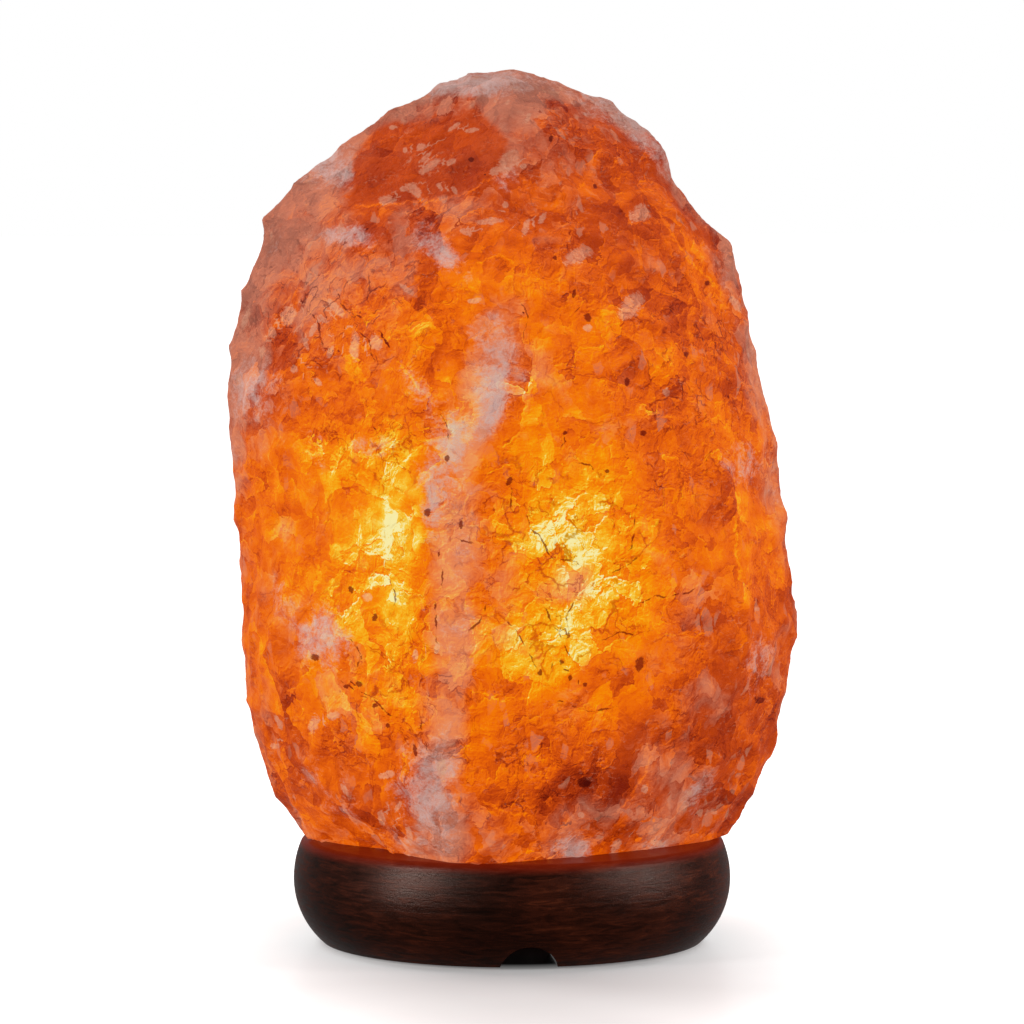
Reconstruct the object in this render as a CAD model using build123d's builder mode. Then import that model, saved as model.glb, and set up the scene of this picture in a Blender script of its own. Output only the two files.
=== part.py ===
import os
from math import cos, radians, sin, sqrt
from random import Random

from build123d import *

# Salt crystal lamp: a hewn block of rock salt screwed to a turned wooden base, with a small
# bulb in a sprung holder that pushes up into the block through the base.
# Millimetres. Origin on the ground under the base's centre, +Z up. The notch in the base and
# the crystal's front ridge face -Y.

# ---- turned wooden base
base_diameter = 106.0          # across the belly
base_foot_diameter = 92.4      # flat underside
base_top_diameter = 101.4      # top face, before its edge is rounded
base_thickness = 25.0
base_belly_height = 15.0       # widest ring above the underside
base_edge_radius = 2.2
base_lead_in = 1.2             # bevel that guides the holder into the bore
notch_diameter = 14.0          # core-box cutter that cuts the cable's way out
notch_depth = 5.5
notch_angle = -90.0            # seen from above

# ---- feet
pad_diameter = 10.0
pad_thickness = 1.5
pad_proud = 0.5                # of the wood's underside
pad_clearance = 0.2            # round the pad in its recess
pad_circle = 77.0
pad_count = 4

# ---- bore for the bulb and its holder, through the base and up into the crystal
bore_diameter = 46.0
bore_depth = 104.0             # in the crystal

# ---- screws that hold the base to the crystal
screw_circle = 61.0
screw_count = 3
screw_diameter = 4.0
screw_head_diameter = 8.0
screw_head_height = 2.6
screw_head_radius = 1.0
screw_point = 1.2              # bevel at its end
screw_grip = 12.0              # length of thread in the crystal
screw_clearance = 0.25         # round the shank in the wood
screw_bite = 0.02              # round the shank in the crystal
counterbore_diameter = 9.0
counterbore_depth = 6.0

# ---- crystal
crystal_height = 184.5
crystal_width = 137.0
crystal_depth = 124.0
facing_angle = -5.0            # its broad face is turned this far from the notch
# in percent: height above its seat, then how far it reaches to the left, right, front and
# back of its axis, and how full its corners are: under 100 they are knocked in
crystal_levels = (
    (0.0, 72, 79, 80, 77, 87),
    (5.5, 84, 85, 90, 89, 93),
    (11.5, 89, 93, 94, 95, 98),
    (20.0, 94, 96, 98, 99, 100),
    (28.0, 96, 100, 99, 100, 100),
    (40.5, 95, 97, 98, 101, 100),
    (48.0, 98, 93, 97, 99, 100),
    (56.5, 100, 91, 94, 97, 100),
    (64.0, 100, 86, 89, 93, 99),
    (70.0, 96, 83, 83, 87, 97),
    (76.5, 89, 80, 74, 79, 96),
    (81.5, 86, 68, 65, 71, 96),
    (86.5, 75, 57, 55, 61, 95),
    (92.0, 57, 53, 42, 48, 94),
    (96.0, 39, 38, 30, 33, 93),
    (100.0, 16, 9, 12, 12, 90),
)
# corners of a level as shares of its reach, (across, along), from the right edge round by
# the front ridge and the left edge to the back
corner_shares = (
    (1.00, -0.08),
    (0.82, -0.52),
    (0.46, -0.84),
    (-0.06, -1.00),
    (-0.30, -0.98),
    (-0.76, -0.62),
    (-1.00, -0.14),
    (-0.90, 0.46),
    (-0.50, 0.88),
    (0.04, 1.00),
    (0.54, 0.83),
    (0.91, 0.43),
)
corner_threshold = 0.35        # a share above this in both ways makes a knocked-in corner
side_bulge = 0.08              # of the middle of a level's side, as a share of the side
chip_depth = 2.6               # deepest chip off a knocked-in corner or a side's middle
chip_seed = 11                 # of the pattern of chips
# hewn faces: compass angle and tilt of the way each looks, and how deep it cuts below the
# crystal's furthest corner that way
hewn_faces = (
    (-128.0, 42.0, 3.3),
    (-52.0, 47.0, 2.4),
    (35.0, 44.0, 2.2),
    (140.0, 40.0, 3.6),
    (100.0, 38.0, 2.8),
    (95.0, 6.0, 2.1),
    (60.0, 12.0, 2.3),
    (120.0, 14.0, 2.5),
    (150.0, 10.0, 2.0),
    (-20.0, 12.0, 1.8),
    (-75.0, 18.0, 1.3),
    (-105.0, 20.0, 1.8),
    (-150.0, 12.0, 1.8),
    (60.0, -25.0, 2.4),
    (-30.0, -28.0, 2.2),
)

# ---- bulb holder
holder_diameter = 28.0
holder_wall = 1.8
holder_ground_gap = 9.0        # room for the cable under the cap
cap_length = 20.0
skirt_length = 32.0
cap_corner_radius = 3.0
skirt_lip_radius = 1.2
gland_bore_diameter = 8.0
gland_diameter = 13.0
gland_length = 7.5
gland_drop = 2.0               # below the cap
cap_floor = 2.4
carrier_thickness = 8.0
carrier_seat = 4.0             # from the cap's rim down to the step it rests on
carrier_clearance = 0.1
step_width = 1.2               # of the steps that hold the carrier
mouth_clearance = 0.9          # between the screw shell and the skirt's mouth
grip_flute_count = 24
grip_flute_diameter = 1.6
grip_flute_depth = 0.35
grip_end_margin = 3.6          # of the flutes from the skirt's rim

# ---- screw shell and contacts
shell_bore_diameter = 14.4
shell_wall = 0.35
shell_length = 24.0
shell_rim = 0.5                # rolled out at its mouth
shell_floor_hole = 9.6
contact_thickness = 0.4
contact_width = 4.0
contact_rise = 4.6             # of the tongue above the carrier
contact_reach = 3.4            # to each side of the axis
contact_heel_height = 2.8      # of its two bends under the tongue
contact_tongue_start = 1.0     # from the axis
contact_tongue_end = 1.7
contact_lip = 2.7
terminal_width = 6.0
terminal_length = 8.0
terminal_bore = 2.6
terminal_bore_depth = 5.6
terminal_screw_drop = 4.8      # of the screws' axes below the carrier
terminal_screw_diameter = 2.6
terminal_screw_head = 4.2
terminal_screw_head_height = 1.2
centre_terminal_offset = 5.6   # from the axis
shell_terminal_offset = 6.2
stud_diameter = 2.0
stud_inset = 0.4               # of the centre contact's stud from its block's edge

# ---- spring clip
clip_thickness = 0.6
clip_width = 9.0
clip_play = 0.25               # between its ring and the skirt
clip_ring_height = 10.0
clip_fold_radius = 0.5         # inside the fold at the ring's top
clip_fold_leg = 2.0
clip_joint_gap = 0.3           # where an arm flexes
clip_wall_gap = 0.3            # between an elbow and the bore
clip_elbow_drop = 19.5         # below the fold's end
clip_elbow_radius = 2.5
clip_tab_drop = 8.0
clip_tab_return = 3.2
clip_tab_radius = 1.5

# ---- bulb
tip_gap = 0.3                  # between the bulb's tip and the contact tongue
tip_diameter = 4.8
tip_height = 1.2
tip_edge_radius = 0.6
insulator_height = 2.4
cap_diameter = 13.4
bulb_cap_length = 17.0
bulb_cap_wall = 0.35
bulb_cap_flare = 0.7
bulb_cap_flare_height = 2.0
neck_diameter = 11.6
neck_length = 6.0
neck_overlap = 4.5             # of the neck inside the cap
globe_diameter = 26.0
globe_height = 24.0            # of its widest ring above the neck's end
glass_wall = 0.6
cement_clearance = 0.05
stem_diameter = 4.2
stem_height = 14.0
stem_flare_height = 5.0
lead_diameter = 0.6
lead_spread = 7.0              # of the filament's ends from the axis
lead_root_length = 2.0         # straight out of the stem
lead_hook_length = 1.0         # up to the filament
filament_diameter = 0.8
filament_bow = 3.5             # forwards, halfway along
filament_rise = 0.5            # halfway along
support_diameter = 0.4
support_gap = 0.1              # under the filament

# ---- heights that follow from the sizes above
wood_bottom = pad_proud
seat_height = wood_bottom + base_thickness
bore_top = seat_height + bore_depth
holder_bottom = holder_ground_gap
split_height = holder_bottom + cap_length
skirt_bottom = split_height + clip_thickness
skirt_top = skirt_bottom + skirt_length
carrier_bottom = split_height - carrier_seat
carrier_top = carrier_bottom + carrier_thickness
shell_top = carrier_top + shell_length
tip_bottom = carrier_top + contact_rise + contact_thickness + tip_gap
insulator_bottom = tip_bottom + tip_height
bulb_cap_bottom = insulator_bottom + insulator_height
bulb_cap_top = bulb_cap_bottom + bulb_cap_length
neck_bottom = bulb_cap_top - neck_overlap
neck_top = neck_bottom + neck_length
globe_centre = neck_top + globe_height
stem_top = neck_bottom + stem_height
filament_height = globe_centre + lead_hook_length + filament_diameter / 2

# ---- radii that follow
bore_radius = bore_diameter / 2
holder_radius = holder_diameter / 2
carrier_radius = holder_radius - holder_wall - carrier_clearance
cavity_radius = holder_radius - holder_wall
step_radius = cavity_radius - step_width
shell_radius = shell_bore_diameter / 2 + shell_wall
mouth_radius = shell_radius + mouth_clearance
ring_inner_radius = holder_radius + clip_play
ring_radius = ring_inner_radius + clip_thickness
globe_radius = globe_diameter / 2
neck_radius = neck_diameter / 2
bulb_cap_radius = cap_diameter / 2
# hollow shoulder that meets both the straight neck and the globe smoothly
shoulder_radius = ((neck_radius**2 + globe_height**2 - globe_radius**2)
                   / (2 * (globe_radius - neck_radius)))

# ---- places shared by several pieces
screw_first_angle = notch_angle + 180.0
pad_first_angle = notch_angle + 180.0 / pad_count


def on_circle(diameter, count, first_angle):
    """Points spread evenly on a circle about the lamp's axis."""
    turns = [radians(first_angle + 360.0 * i / count) for i in range(count)]
    return [(diameter / 2 * cos(t), diameter / 2 * sin(t)) for t in turns]


screw_points = on_circle(screw_circle, screw_count, screw_first_angle)
pad_points = on_circle(pad_circle, pad_count, pad_first_angle)


def level_corners(left, right, front, back, fullness):
    """Outline of one level of the crystal, in the plane of its broad face: its corners, and
    between them the middle of each side, bulged out and hewn back by a chip."""
    corners = []
    for across, along in corner_shares:
        reach_across = (right if across > 0 else left) / 100 * crystal_width / 2
        reach_along = (back if along > 0 else front) / 100 * crystal_depth / 2
        corner = Vector(across * reach_across, along * reach_along)
        if min(abs(across), abs(along)) > corner_threshold:
            corner = corner * (fullness / 100) - corner.normalized() * chips.uniform(0, chip_depth)
        corners.append(corner)
    outline = []
    for corner, following in zip(corners, corners[1:] + corners[:1]):
        middle = (corner + following) / 2
        stand_out = (following - corner).length * side_bulge - chips.uniform(0, chip_depth)
        outline += [corner, middle + middle.normalized() * stand_out]
    return [(point.X, point.Y) for point in outline]


# ---- salt crystal
chips = Random(chip_seed)
crystal_seat = Plane.XY.offset(seat_height).rotated((0, 0, facing_angle))
crystal_outlines = [(height / 100 * crystal_height, level_corners(*reaches))
                    for height, *reaches in crystal_levels]
crystal_corners = [crystal_seat.from_local_coords(Vector(x, y, height))
                   for height, corners in crystal_outlines for x, y in corners]


def hewn_plane(compass, tilt, cut):
    """Plane of a hewn face, facing out."""
    looking = Vector(cos(radians(compass)) * cos(radians(tilt)),
                     sin(radians(compass)) * cos(radians(tilt)), sin(radians(tilt)))
    reach = max(corner.dot(looking) for corner in crystal_corners)
    return Plane(origin=looking * (reach - cut), z_dir=looking)


with BuildPart() as salt_crystal:
    for height, corners in crystal_outlines:
        with BuildSketch(crystal_seat.offset(height)):
            Polygon(*corners)
    loft(ruled=True)
    for hewn_face in hewn_faces:
        split(bisect_by=hewn_plane(*hewn_face), keep=Keep.BOTTOM)
    with BuildSketch(Plane.XY.offset(seat_height)):
        Circle(bore_radius)
    extrude(amount=bore_depth, mode=Mode.SUBTRACT)
    with BuildSketch(Plane.XY.offset(seat_height)):
        with Locations(*screw_points):
            Circle(screw_diameter / 2 + screw_bite)
    extrude(amount=screw_grip, mode=Mode.SUBTRACT)
salt_crystal.part.label = "salt_crystal"

# ---- wooden base
with BuildPart() as wooden_base:
    with BuildSketch(Plane.XZ):
        with BuildLine():
            belly = (base_diameter / 2, wood_bottom + base_belly_height)
            foot = (base_foot_diameter / 2, wood_bottom)
            rim = (base_top_diameter / 2, seat_height)
            TangentArc(belly, foot, tangent=(0, -1))
            TangentArc(belly, rim, tangent=(0, 1))
            Polyline(foot, (bore_radius + base_lead_in, wood_bottom),
                     (bore_radius, wood_bottom + base_lead_in), (bore_radius, seat_height), rim)
        make_face()
    revolve(axis=Axis.Z)
    fillet(wooden_base.faces().sort_by(Axis.Z)[-1].edges().sort_by(SortBy.RADIUS)[-1],
           radius=base_edge_radius)
    notch_way = Plane.XZ.rotated((0, 0, notch_angle + 90.0))
    with BuildSketch(notch_way):
        with Locations((0, wood_bottom + notch_depth - notch_diameter / 2)):
            Circle(notch_diameter / 2)
    extrude(amount=base_diameter, mode=Mode.SUBTRACT)
    with BuildSketch(Plane.XY.offset(wood_bottom)):
        with Locations(*screw_points):
            Circle(counterbore_diameter / 2)
    extrude(amount=counterbore_depth, mode=Mode.SUBTRACT)
    with BuildSketch(Plane.XY.offset(wood_bottom)):
        with Locations(*screw_points):
            Circle(screw_diameter / 2 + screw_clearance)
    extrude(amount=base_thickness, mode=Mode.SUBTRACT)
    with BuildSketch(Plane.XY.offset(wood_bottom)):
        with Locations(*pad_points):
            Circle(pad_diameter / 2 + pad_clearance)
    extrude(amount=pad_thickness - pad_proud, mode=Mode.SUBTRACT)
wooden_base.part.label = "wooden_base"

# ---- base screws, heads down in their counterbores
screw_seat = wood_bottom + counterbore_depth

with BuildPart() as base_screws:
    with BuildSketch(Plane.XY.offset(screw_seat)):
        with Locations(*screw_points):
            Circle(screw_head_diameter / 2)
    extrude(amount=-screw_head_height)
    fillet(base_screws.faces().group_by(Axis.Z)[0].edges(), radius=screw_head_radius)
    with BuildSketch(Plane.XY.offset(screw_seat)):
        with Locations(*screw_points):
            Circle(screw_diameter / 2)
    extrude(amount=seat_height + screw_grip - screw_seat)
    chamfer(base_screws.faces().group_by(Axis.Z)[-1].edges(), length=screw_point)
base_screws.part.label = "base_screws"

# ---- foot pads
with BuildPart() as foot_pads:
    with BuildSketch(Plane.XY):
        with Locations(*pad_points):
            Circle(pad_diameter / 2)
    extrude(amount=pad_thickness)
foot_pads.part.label = "foot_pads"

# ---- holder cap with its cable gland
with BuildPart() as holder_cap:
    gland_bottom = holder_bottom - gland_drop
    with BuildSketch(Plane.XZ):
        with BuildLine():
            Polyline((gland_bore_diameter / 2, gland_bottom), (gland_diameter / 2, gland_bottom),
                     (gland_diameter / 2, holder_bottom),
                     (holder_radius - cap_corner_radius, holder_bottom))
            RadiusArc((holder_radius - cap_corner_radius, holder_bottom),
                      (holder_radius, holder_bottom + cap_corner_radius), -cap_corner_radius)
            Polyline((holder_radius, holder_bottom + cap_corner_radius),
                     (holder_radius, split_height), (cavity_radius, split_height),
                     (cavity_radius, carrier_bottom), (step_radius, carrier_bottom),
                     (step_radius, holder_bottom + cap_floor),
                     (gland_diameter / 2, holder_bottom + cap_floor),
                     (gland_diameter / 2, gland_bottom + gland_length),
                     (gland_bore_diameter / 2, gland_bottom + gland_length),
                     (gland_bore_diameter / 2, gland_bottom))
        make_face()
    revolve(axis=Axis.Z)
holder_cap.part.label = "holder_cap"

# ---- holder skirt round the screw shell
with BuildPart() as holder_skirt:
    with BuildSketch(Plane.XZ):
        with BuildLine():
            Polyline((cavity_radius, skirt_bottom), (holder_radius, skirt_bottom),
                     (holder_radius, skirt_top - skirt_lip_radius))
            RadiusArc((holder_radius, skirt_top - skirt_lip_radius),
                      (holder_radius - skirt_lip_radius, skirt_top), -skirt_lip_radius)
            Polyline((holder_radius - skirt_lip_radius, skirt_top), (mouth_radius, skirt_top),
                     (mouth_radius, skirt_top - holder_wall),
                     (step_radius, skirt_top - holder_wall), (step_radius, carrier_top),
                     (cavity_radius, carrier_top), (cavity_radius, skirt_bottom))
        make_face()
    revolve(axis=Axis.Z)
    flute_points = on_circle(holder_diameter - 2 * grip_flute_depth + grip_flute_diameter,
                             grip_flute_count, 0.0)
    with BuildSketch(Plane.XY.offset(skirt_bottom + clip_ring_height)):
        with Locations(*flute_points):
            Circle(grip_flute_diameter / 2)
    extrude(amount=skirt_length - clip_ring_height - grip_end_margin, mode=Mode.SUBTRACT)
holder_skirt.part.label = "holder_skirt"

# ---- insulating carrier for the contacts
terminal_points = ((-centre_terminal_offset, 0), (shell_terminal_offset, 0))
centre_stud = -centre_terminal_offset + terminal_width / 2 - stud_diameter / 2 - stud_inset
stud_points = ((centre_stud, 0), (shell_floor_hole / 2 + stud_diameter / 2, 0))

with BuildPart() as contact_carrier:
    with BuildSketch(Plane.XY.offset(carrier_bottom)):
        Circle(carrier_radius)
        with Locations(*stud_points):
            Circle(stud_diameter / 2 + screw_bite, mode=Mode.SUBTRACT)
    extrude(amount=carrier_thickness)
contact_carrier.part.label = "contact_carrier"

# ---- screw shell
with BuildPart() as screw_shell:
    with BuildSketch(Plane.XZ):
        with BuildLine():
            Polyline((shell_floor_hole / 2, carrier_top), (shell_radius, carrier_top),
                     (shell_radius, shell_top - shell_wall),
                     (shell_radius + shell_rim, shell_top - shell_wall),
                     (shell_radius + shell_rim, shell_top), (shell_bore_diameter / 2, shell_top),
                     (shell_bore_diameter / 2, carrier_top + shell_wall),
                     (shell_floor_hole / 2, carrier_top + shell_wall), close=True)
        make_face()
    revolve(axis=Axis.Z)
screw_shell.part.label = "screw_shell"

# ---- sprung centre contact, a strip folded back over itself
with BuildPart() as centre_contact:
    foot_middle = carrier_top + contact_thickness / 2
    heel_middle = carrier_top + contact_heel_height
    tongue_middle = carrier_top + contact_rise + contact_thickness / 2
    with BuildSketch(Plane.XZ):
        with BuildLine():
            FilletPolyline((contact_reach, foot_middle), (-contact_reach, foot_middle),
                           (-contact_reach, heel_middle), (-contact_tongue_start, tongue_middle),
                           (contact_tongue_end, tongue_middle), (contact_lip, heel_middle),
                           radius=contact_thickness)
        trace(line_width=contact_thickness)
    extrude(amount=contact_width / 2, both=True)
centre_contact.part.label = "centre_contact"

# ---- terminal blocks under the carrier, each with a stud up to its contact
screw_axes = [(x, carrier_bottom - terminal_screw_drop) for x, _ in terminal_points]

with BuildPart() as terminal_blocks:
    with BuildSketch(Plane.XY.offset(carrier_bottom)):
        with Locations(*terminal_points):
            Rectangle(terminal_width, terminal_width)
    extrude(amount=-terminal_length)
    with BuildSketch(Plane.XY.offset(carrier_bottom)):
        with Locations(*stud_points):
            Circle(stud_diameter / 2)
    extrude(amount=carrier_thickness)
    with BuildSketch(Plane.XY.offset(carrier_bottom - terminal_length)):
        with Locations(*terminal_points):
            Circle(terminal_bore / 2)
    extrude(amount=terminal_bore_depth, mode=Mode.SUBTRACT)
    with BuildSketch(Plane.XZ):
        with Locations(*screw_axes):
            Circle(terminal_screw_diameter / 2 + screw_bite)
    extrude(amount=terminal_width, mode=Mode.SUBTRACT)
terminal_blocks.part.label = "terminal_blocks"

with BuildPart() as terminal_screws:
    face_plane = Plane.XZ.offset(terminal_width / 2)
    with BuildSketch(face_plane):
        with Locations(*screw_axes):
            Circle(terminal_screw_head / 2)
    extrude(amount=terminal_screw_head_height)
    with BuildSketch(face_plane):
        with Locations(*screw_axes):
            Circle(terminal_screw_diameter / 2)
    extrude(amount=-terminal_width / 2)
terminal_screws.part.label = "terminal_screws"

# ---- spring clip: a ring held between cap and skirt, folded over at each side
fold_middle = ring_inner_radius + clip_thickness / 2
leg_middle = fold_middle + clip_thickness + 2 * clip_fold_radius
ring_top = skirt_bottom + clip_ring_height
leg_bottom = ring_top - clip_fold_leg

with BuildPart() as clip_band:
    with BuildSketch(Plane.XZ):
        with BuildLine():
            Polyline((cavity_radius + carrier_clearance, split_height), (ring_radius, split_height),
                     (ring_radius, ring_top), (ring_inner_radius, ring_top),
                     (ring_inner_radius, skirt_bottom),
                     (cavity_radius + carrier_clearance, skirt_bottom), close=True)
        make_face()
    revolve(axis=Axis.Z)
    with BuildSketch(Plane.XZ):
        with BuildLine():
            inner_leg = Line((fold_middle, ring_top - clip_ring_height / 2), (fold_middle, ring_top))
            fold = RadiusArc(inner_leg @ 1, (leg_middle, ring_top), (leg_middle - fold_middle) / 2)
            Line(fold @ 1, (leg_middle, leg_bottom))
        trace(line_width=clip_thickness)
        mirror(about=Plane.YZ)
    extrude(amount=clip_width / 2, both=True)
clip_band.part.label = "clip_band"

# ---- spring arms, each from the fold out to the bore wall and back in to a finger tab
arm_top = leg_bottom - clip_joint_gap
elbow_middle = (sqrt(bore_radius**2 - (clip_width / 2) ** 2) - clip_wall_gap
                - clip_thickness / 2)
elbow_height = leg_bottom - clip_elbow_drop

with BuildPart() as clip_arm_right:
    with BuildSketch(Plane.XZ):
        with BuildLine():
            FilletPolyline((leg_middle, arm_top), (elbow_middle, elbow_height),
                           (elbow_middle - clip_tab_return, elbow_height - clip_tab_drop),
                           radius=clip_elbow_radius)
        trace(line_width=clip_thickness)
    extrude(amount=clip_width / 2, both=True)
clip_arm_right.part.label = "clip_arm_right"

with BuildPart() as clip_arm_left:
    add(mirror(clip_arm_right.part, about=Plane.YZ, mode=Mode.PRIVATE))
clip_arm_left.part.label = "clip_arm_left"

# ---- bulb tip
with BuildPart() as bulb_tip_contact:
    with BuildSketch(Plane.XY.offset(tip_bottom)):
        Circle(tip_diameter / 2)
    extrude(amount=tip_height)
    fillet(bulb_tip_contact.faces().sort_by(Axis.Z)[0].edges(), radius=tip_edge_radius)
bulb_tip_contact.part.label = "bulb_tip_contact"

# ---- bulb cap, its insulator and the cement that holds the glass
with BuildPart() as cap_insulator:
    with BuildSketch(Plane.XY.offset(insulator_bottom)):
        Circle(tip_diameter / 2)
    with BuildSketch(Plane.XY.offset(bulb_cap_bottom)):
        Circle(bulb_cap_radius - bulb_cap_wall)
    loft()
cap_insulator.part.label = "cap_insulator"

with BuildPart() as bulb_cap:
    with BuildSketch(Plane.XZ):
        with BuildLine():
            flare_bottom = bulb_cap_top - bulb_cap_flare_height
            Polyline((bulb_cap_radius - bulb_cap_wall, bulb_cap_bottom),
                     (bulb_cap_radius, bulb_cap_bottom), (bulb_cap_radius, flare_bottom),
                     (bulb_cap_radius + bulb_cap_flare, bulb_cap_top),
                     (bulb_cap_radius + bulb_cap_flare - bulb_cap_wall, bulb_cap_top),
                     (bulb_cap_radius - bulb_cap_wall, flare_bottom), close=True)
        make_face()
    revolve(axis=Axis.Z)
bulb_cap.part.label = "bulb_cap"

with BuildPart() as cap_cement:
    with BuildSketch(Plane.XY.offset(neck_bottom)):
        Circle(bulb_cap_radius - bulb_cap_wall - cement_clearance)
        Circle(neck_radius + cement_clearance, mode=Mode.SUBTRACT)
    extrude(amount=flare_bottom - neck_bottom)
cap_cement.part.label = "cap_cement"

# ---- bulb glass
with BuildPart() as bulb_glass:
    with BuildSketch(Plane.XZ):
        with BuildLine():
            neck = Line((neck_radius, neck_bottom), (neck_radius, neck_top))
            blend = globe_radius / (globe_radius + shoulder_radius)
            joint = ((neck_radius + shoulder_radius) * blend, globe_centre - globe_height * blend)
            shoulder = TangentArc(neck @ 1, joint, tangent=(0, 1))
            crown = TangentArc(joint, (0, globe_centre + globe_radius), tangent=shoulder % 1)
            Polyline(crown @ 1, (0, neck_bottom), neck @ 0)
        make_face()
    revolve(axis=Axis.Z)
    offset(amount=-glass_wall, openings=bulb_glass.faces().sort_by(Axis.Z)[0])
bulb_glass.part.label = "bulb_glass"

# ---- glass stem, leads and filament
flare_radius = neck_radius - glass_wall - cement_clearance

with BuildPart() as glass_stem:
    with BuildSketch(Plane.XZ):
        with BuildLine():
            flare_top = (stem_diameter / 2, neck_bottom + stem_flare_height)
            TangentArc(flare_top, (flare_radius, neck_bottom), tangent=(0, -1))
            Polyline((flare_radius, neck_bottom), (0, neck_bottom), (0, stem_top),
                     (stem_diameter / 2, stem_top), flare_top)
        make_face()
    revolve(axis=Axis.Z)
glass_stem.part.label = "glass_stem"

with BuildPart() as lead_wires:
    with BuildSketch(Plane.XZ):
        with BuildLine():
            FilletPolyline((lead_diameter, stem_top), (lead_diameter, stem_top + lead_root_length),
                           (lead_spread, globe_centre),
                           (lead_spread, globe_centre + lead_hook_length), radius=lead_diameter)
        trace(line_width=lead_diameter)
        mirror(about=Plane.YZ)
    extrude(amount=lead_diameter / 2, both=True)
    # support wire from the stem to the middle of the filament
    with BuildSketch(Plane.YZ):
        with BuildLine():
            FilletPolyline((0, stem_top), (0, stem_top + lead_root_length),
                           (-filament_bow, filament_height + filament_rise
                            - filament_diameter / 2 - support_gap), radius=support_diameter)
        trace(line_width=support_diameter)
    extrude(amount=support_diameter / 2, both=True)
lead_wires.part.label = "lead_wires"

with BuildPart() as filament:
    with BuildLine():
        bow = ThreePointArc((-lead_spread, 0, filament_height),
                            (0, -filament_bow, filament_height + filament_rise),
                            (lead_spread, 0, filament_height))
    with BuildSketch(Plane(origin=bow @ 0, z_dir=bow % 0)):
        Circle(filament_diameter / 2)
    sweep()
filament.part.label = "filament"

os.makedirs("parts", exist_ok=True)
for piece in (salt_crystal, wooden_base, base_screws, foot_pads, holder_cap, holder_skirt,
              contact_carrier, screw_shell, centre_contact, terminal_blocks, terminal_screws,
              clip_band, clip_arm_right, clip_arm_left, bulb_tip_contact, cap_insulator,
              bulb_cap, cap_cement, bulb_glass, glass_stem, lead_wires, filament):
    export_step(piece.part, f"parts/{piece.part.label}.step")
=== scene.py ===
import itertools
import math

import bpy
import numpy as np
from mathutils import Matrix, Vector


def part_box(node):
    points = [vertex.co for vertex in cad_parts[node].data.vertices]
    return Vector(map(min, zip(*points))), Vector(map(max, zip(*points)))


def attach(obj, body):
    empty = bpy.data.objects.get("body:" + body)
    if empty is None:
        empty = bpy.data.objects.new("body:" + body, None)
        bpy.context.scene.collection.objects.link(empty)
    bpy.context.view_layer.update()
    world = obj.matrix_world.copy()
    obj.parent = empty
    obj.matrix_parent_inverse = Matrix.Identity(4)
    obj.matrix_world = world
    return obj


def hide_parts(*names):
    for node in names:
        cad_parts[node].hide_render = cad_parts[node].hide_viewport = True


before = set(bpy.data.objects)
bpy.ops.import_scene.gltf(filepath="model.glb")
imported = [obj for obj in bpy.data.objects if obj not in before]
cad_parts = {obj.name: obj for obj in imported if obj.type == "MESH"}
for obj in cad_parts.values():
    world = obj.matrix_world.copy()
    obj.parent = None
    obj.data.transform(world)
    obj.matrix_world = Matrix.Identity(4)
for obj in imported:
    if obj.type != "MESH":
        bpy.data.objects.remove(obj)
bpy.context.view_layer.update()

MM = 0.001

# ---------------- camera
VIEW_TURN = math.radians(-5.0)  # compass turn of the viewer from -Y
VIEW_DISTANCE = 1.5
VIEW_HEIGHT = 0.235
VIEW_PITCH = math.radians(4.98)  # downwards
LENS = 219.0
SENSOR = 36.0
FRAME_SIDE = 1024  # steps across the frame, the unit of every place marked on the front

camera_data = bpy.data.cameras.new("camera")
camera_data.lens = LENS
camera_data.sensor_width = SENSOR
camera = bpy.data.objects.new("camera", camera_data)
camera.location = (math.sin(VIEW_TURN) * VIEW_DISTANCE, -math.cos(VIEW_TURN) * VIEW_DISTANCE, VIEW_HEIGHT)
camera.rotation_euler = (math.pi / 2 - VIEW_PITCH, 0, VIEW_TURN)
bpy.context.scene.collection.objects.link(camera)
bpy.context.scene.camera = camera


FACING = np.array((math.sin(VIEW_TURN), -math.cos(VIEW_TURN), 0.0))  # level, towards the viewer
RIGHTWARD = np.array((math.cos(VIEW_TURN), math.sin(VIEW_TURN), 0.0))
UPWARD = np.array((0.0, 0.0, 1.0))


def front_steps(points):
    """How far points (metres) lie across and down the lamp's front, in steps of the frame."""
    ahead = -math.cos(VIEW_PITCH) * FACING - math.sin(VIEW_PITCH) * UPWARD
    away = points - np.array(camera.location)
    per_metre = LENS / SENSOR * FRAME_SIDE / (away @ ahead)
    return (FRAME_SIDE / 2 + away @ RIGHTWARD * per_metre,
            FRAME_SIDE / 2 - away @ np.cross(RIGHTWARD, ahead) * per_metre)


# ---------------- noise on points
CELL_PRIMES = (73856093, 19349663, 83492791)
SEED_PRIME = 2654435761
STIRRERS = (1274126177, 2246822519)
ALL_BITS, KEPT_BITS = 0xFFFFFFFF, 0xFFFFFF
NOISE_GAIN = 1.6  # spreads gradient noise to about -1 to 1
LEAN_SEED, BACK_SEED = 77, 154  # of a scoop's slope and set-back, counted on from its place's


def hashed(cells, seed):
    """Three numbers from 0 to 1 for each whole-number cell."""
    cells = cells.astype(np.int64)
    x = seed * SEED_PRIME
    for axis, prime in enumerate(CELL_PRIMES):
        x = x ^ (cells[..., axis] * prime)
    out = []
    for _ in range(3):
        x = (x ^ (x >> 13)) * STIRRERS[0] & ALL_BITS
        x = (x ^ (x >> 16)) * STIRRERS[1] & ALL_BITS
        x = x ^ (x >> 15)
        out.append((x & KEPT_BITS) / KEPT_BITS)
    return np.stack(out, axis=-1)


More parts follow.
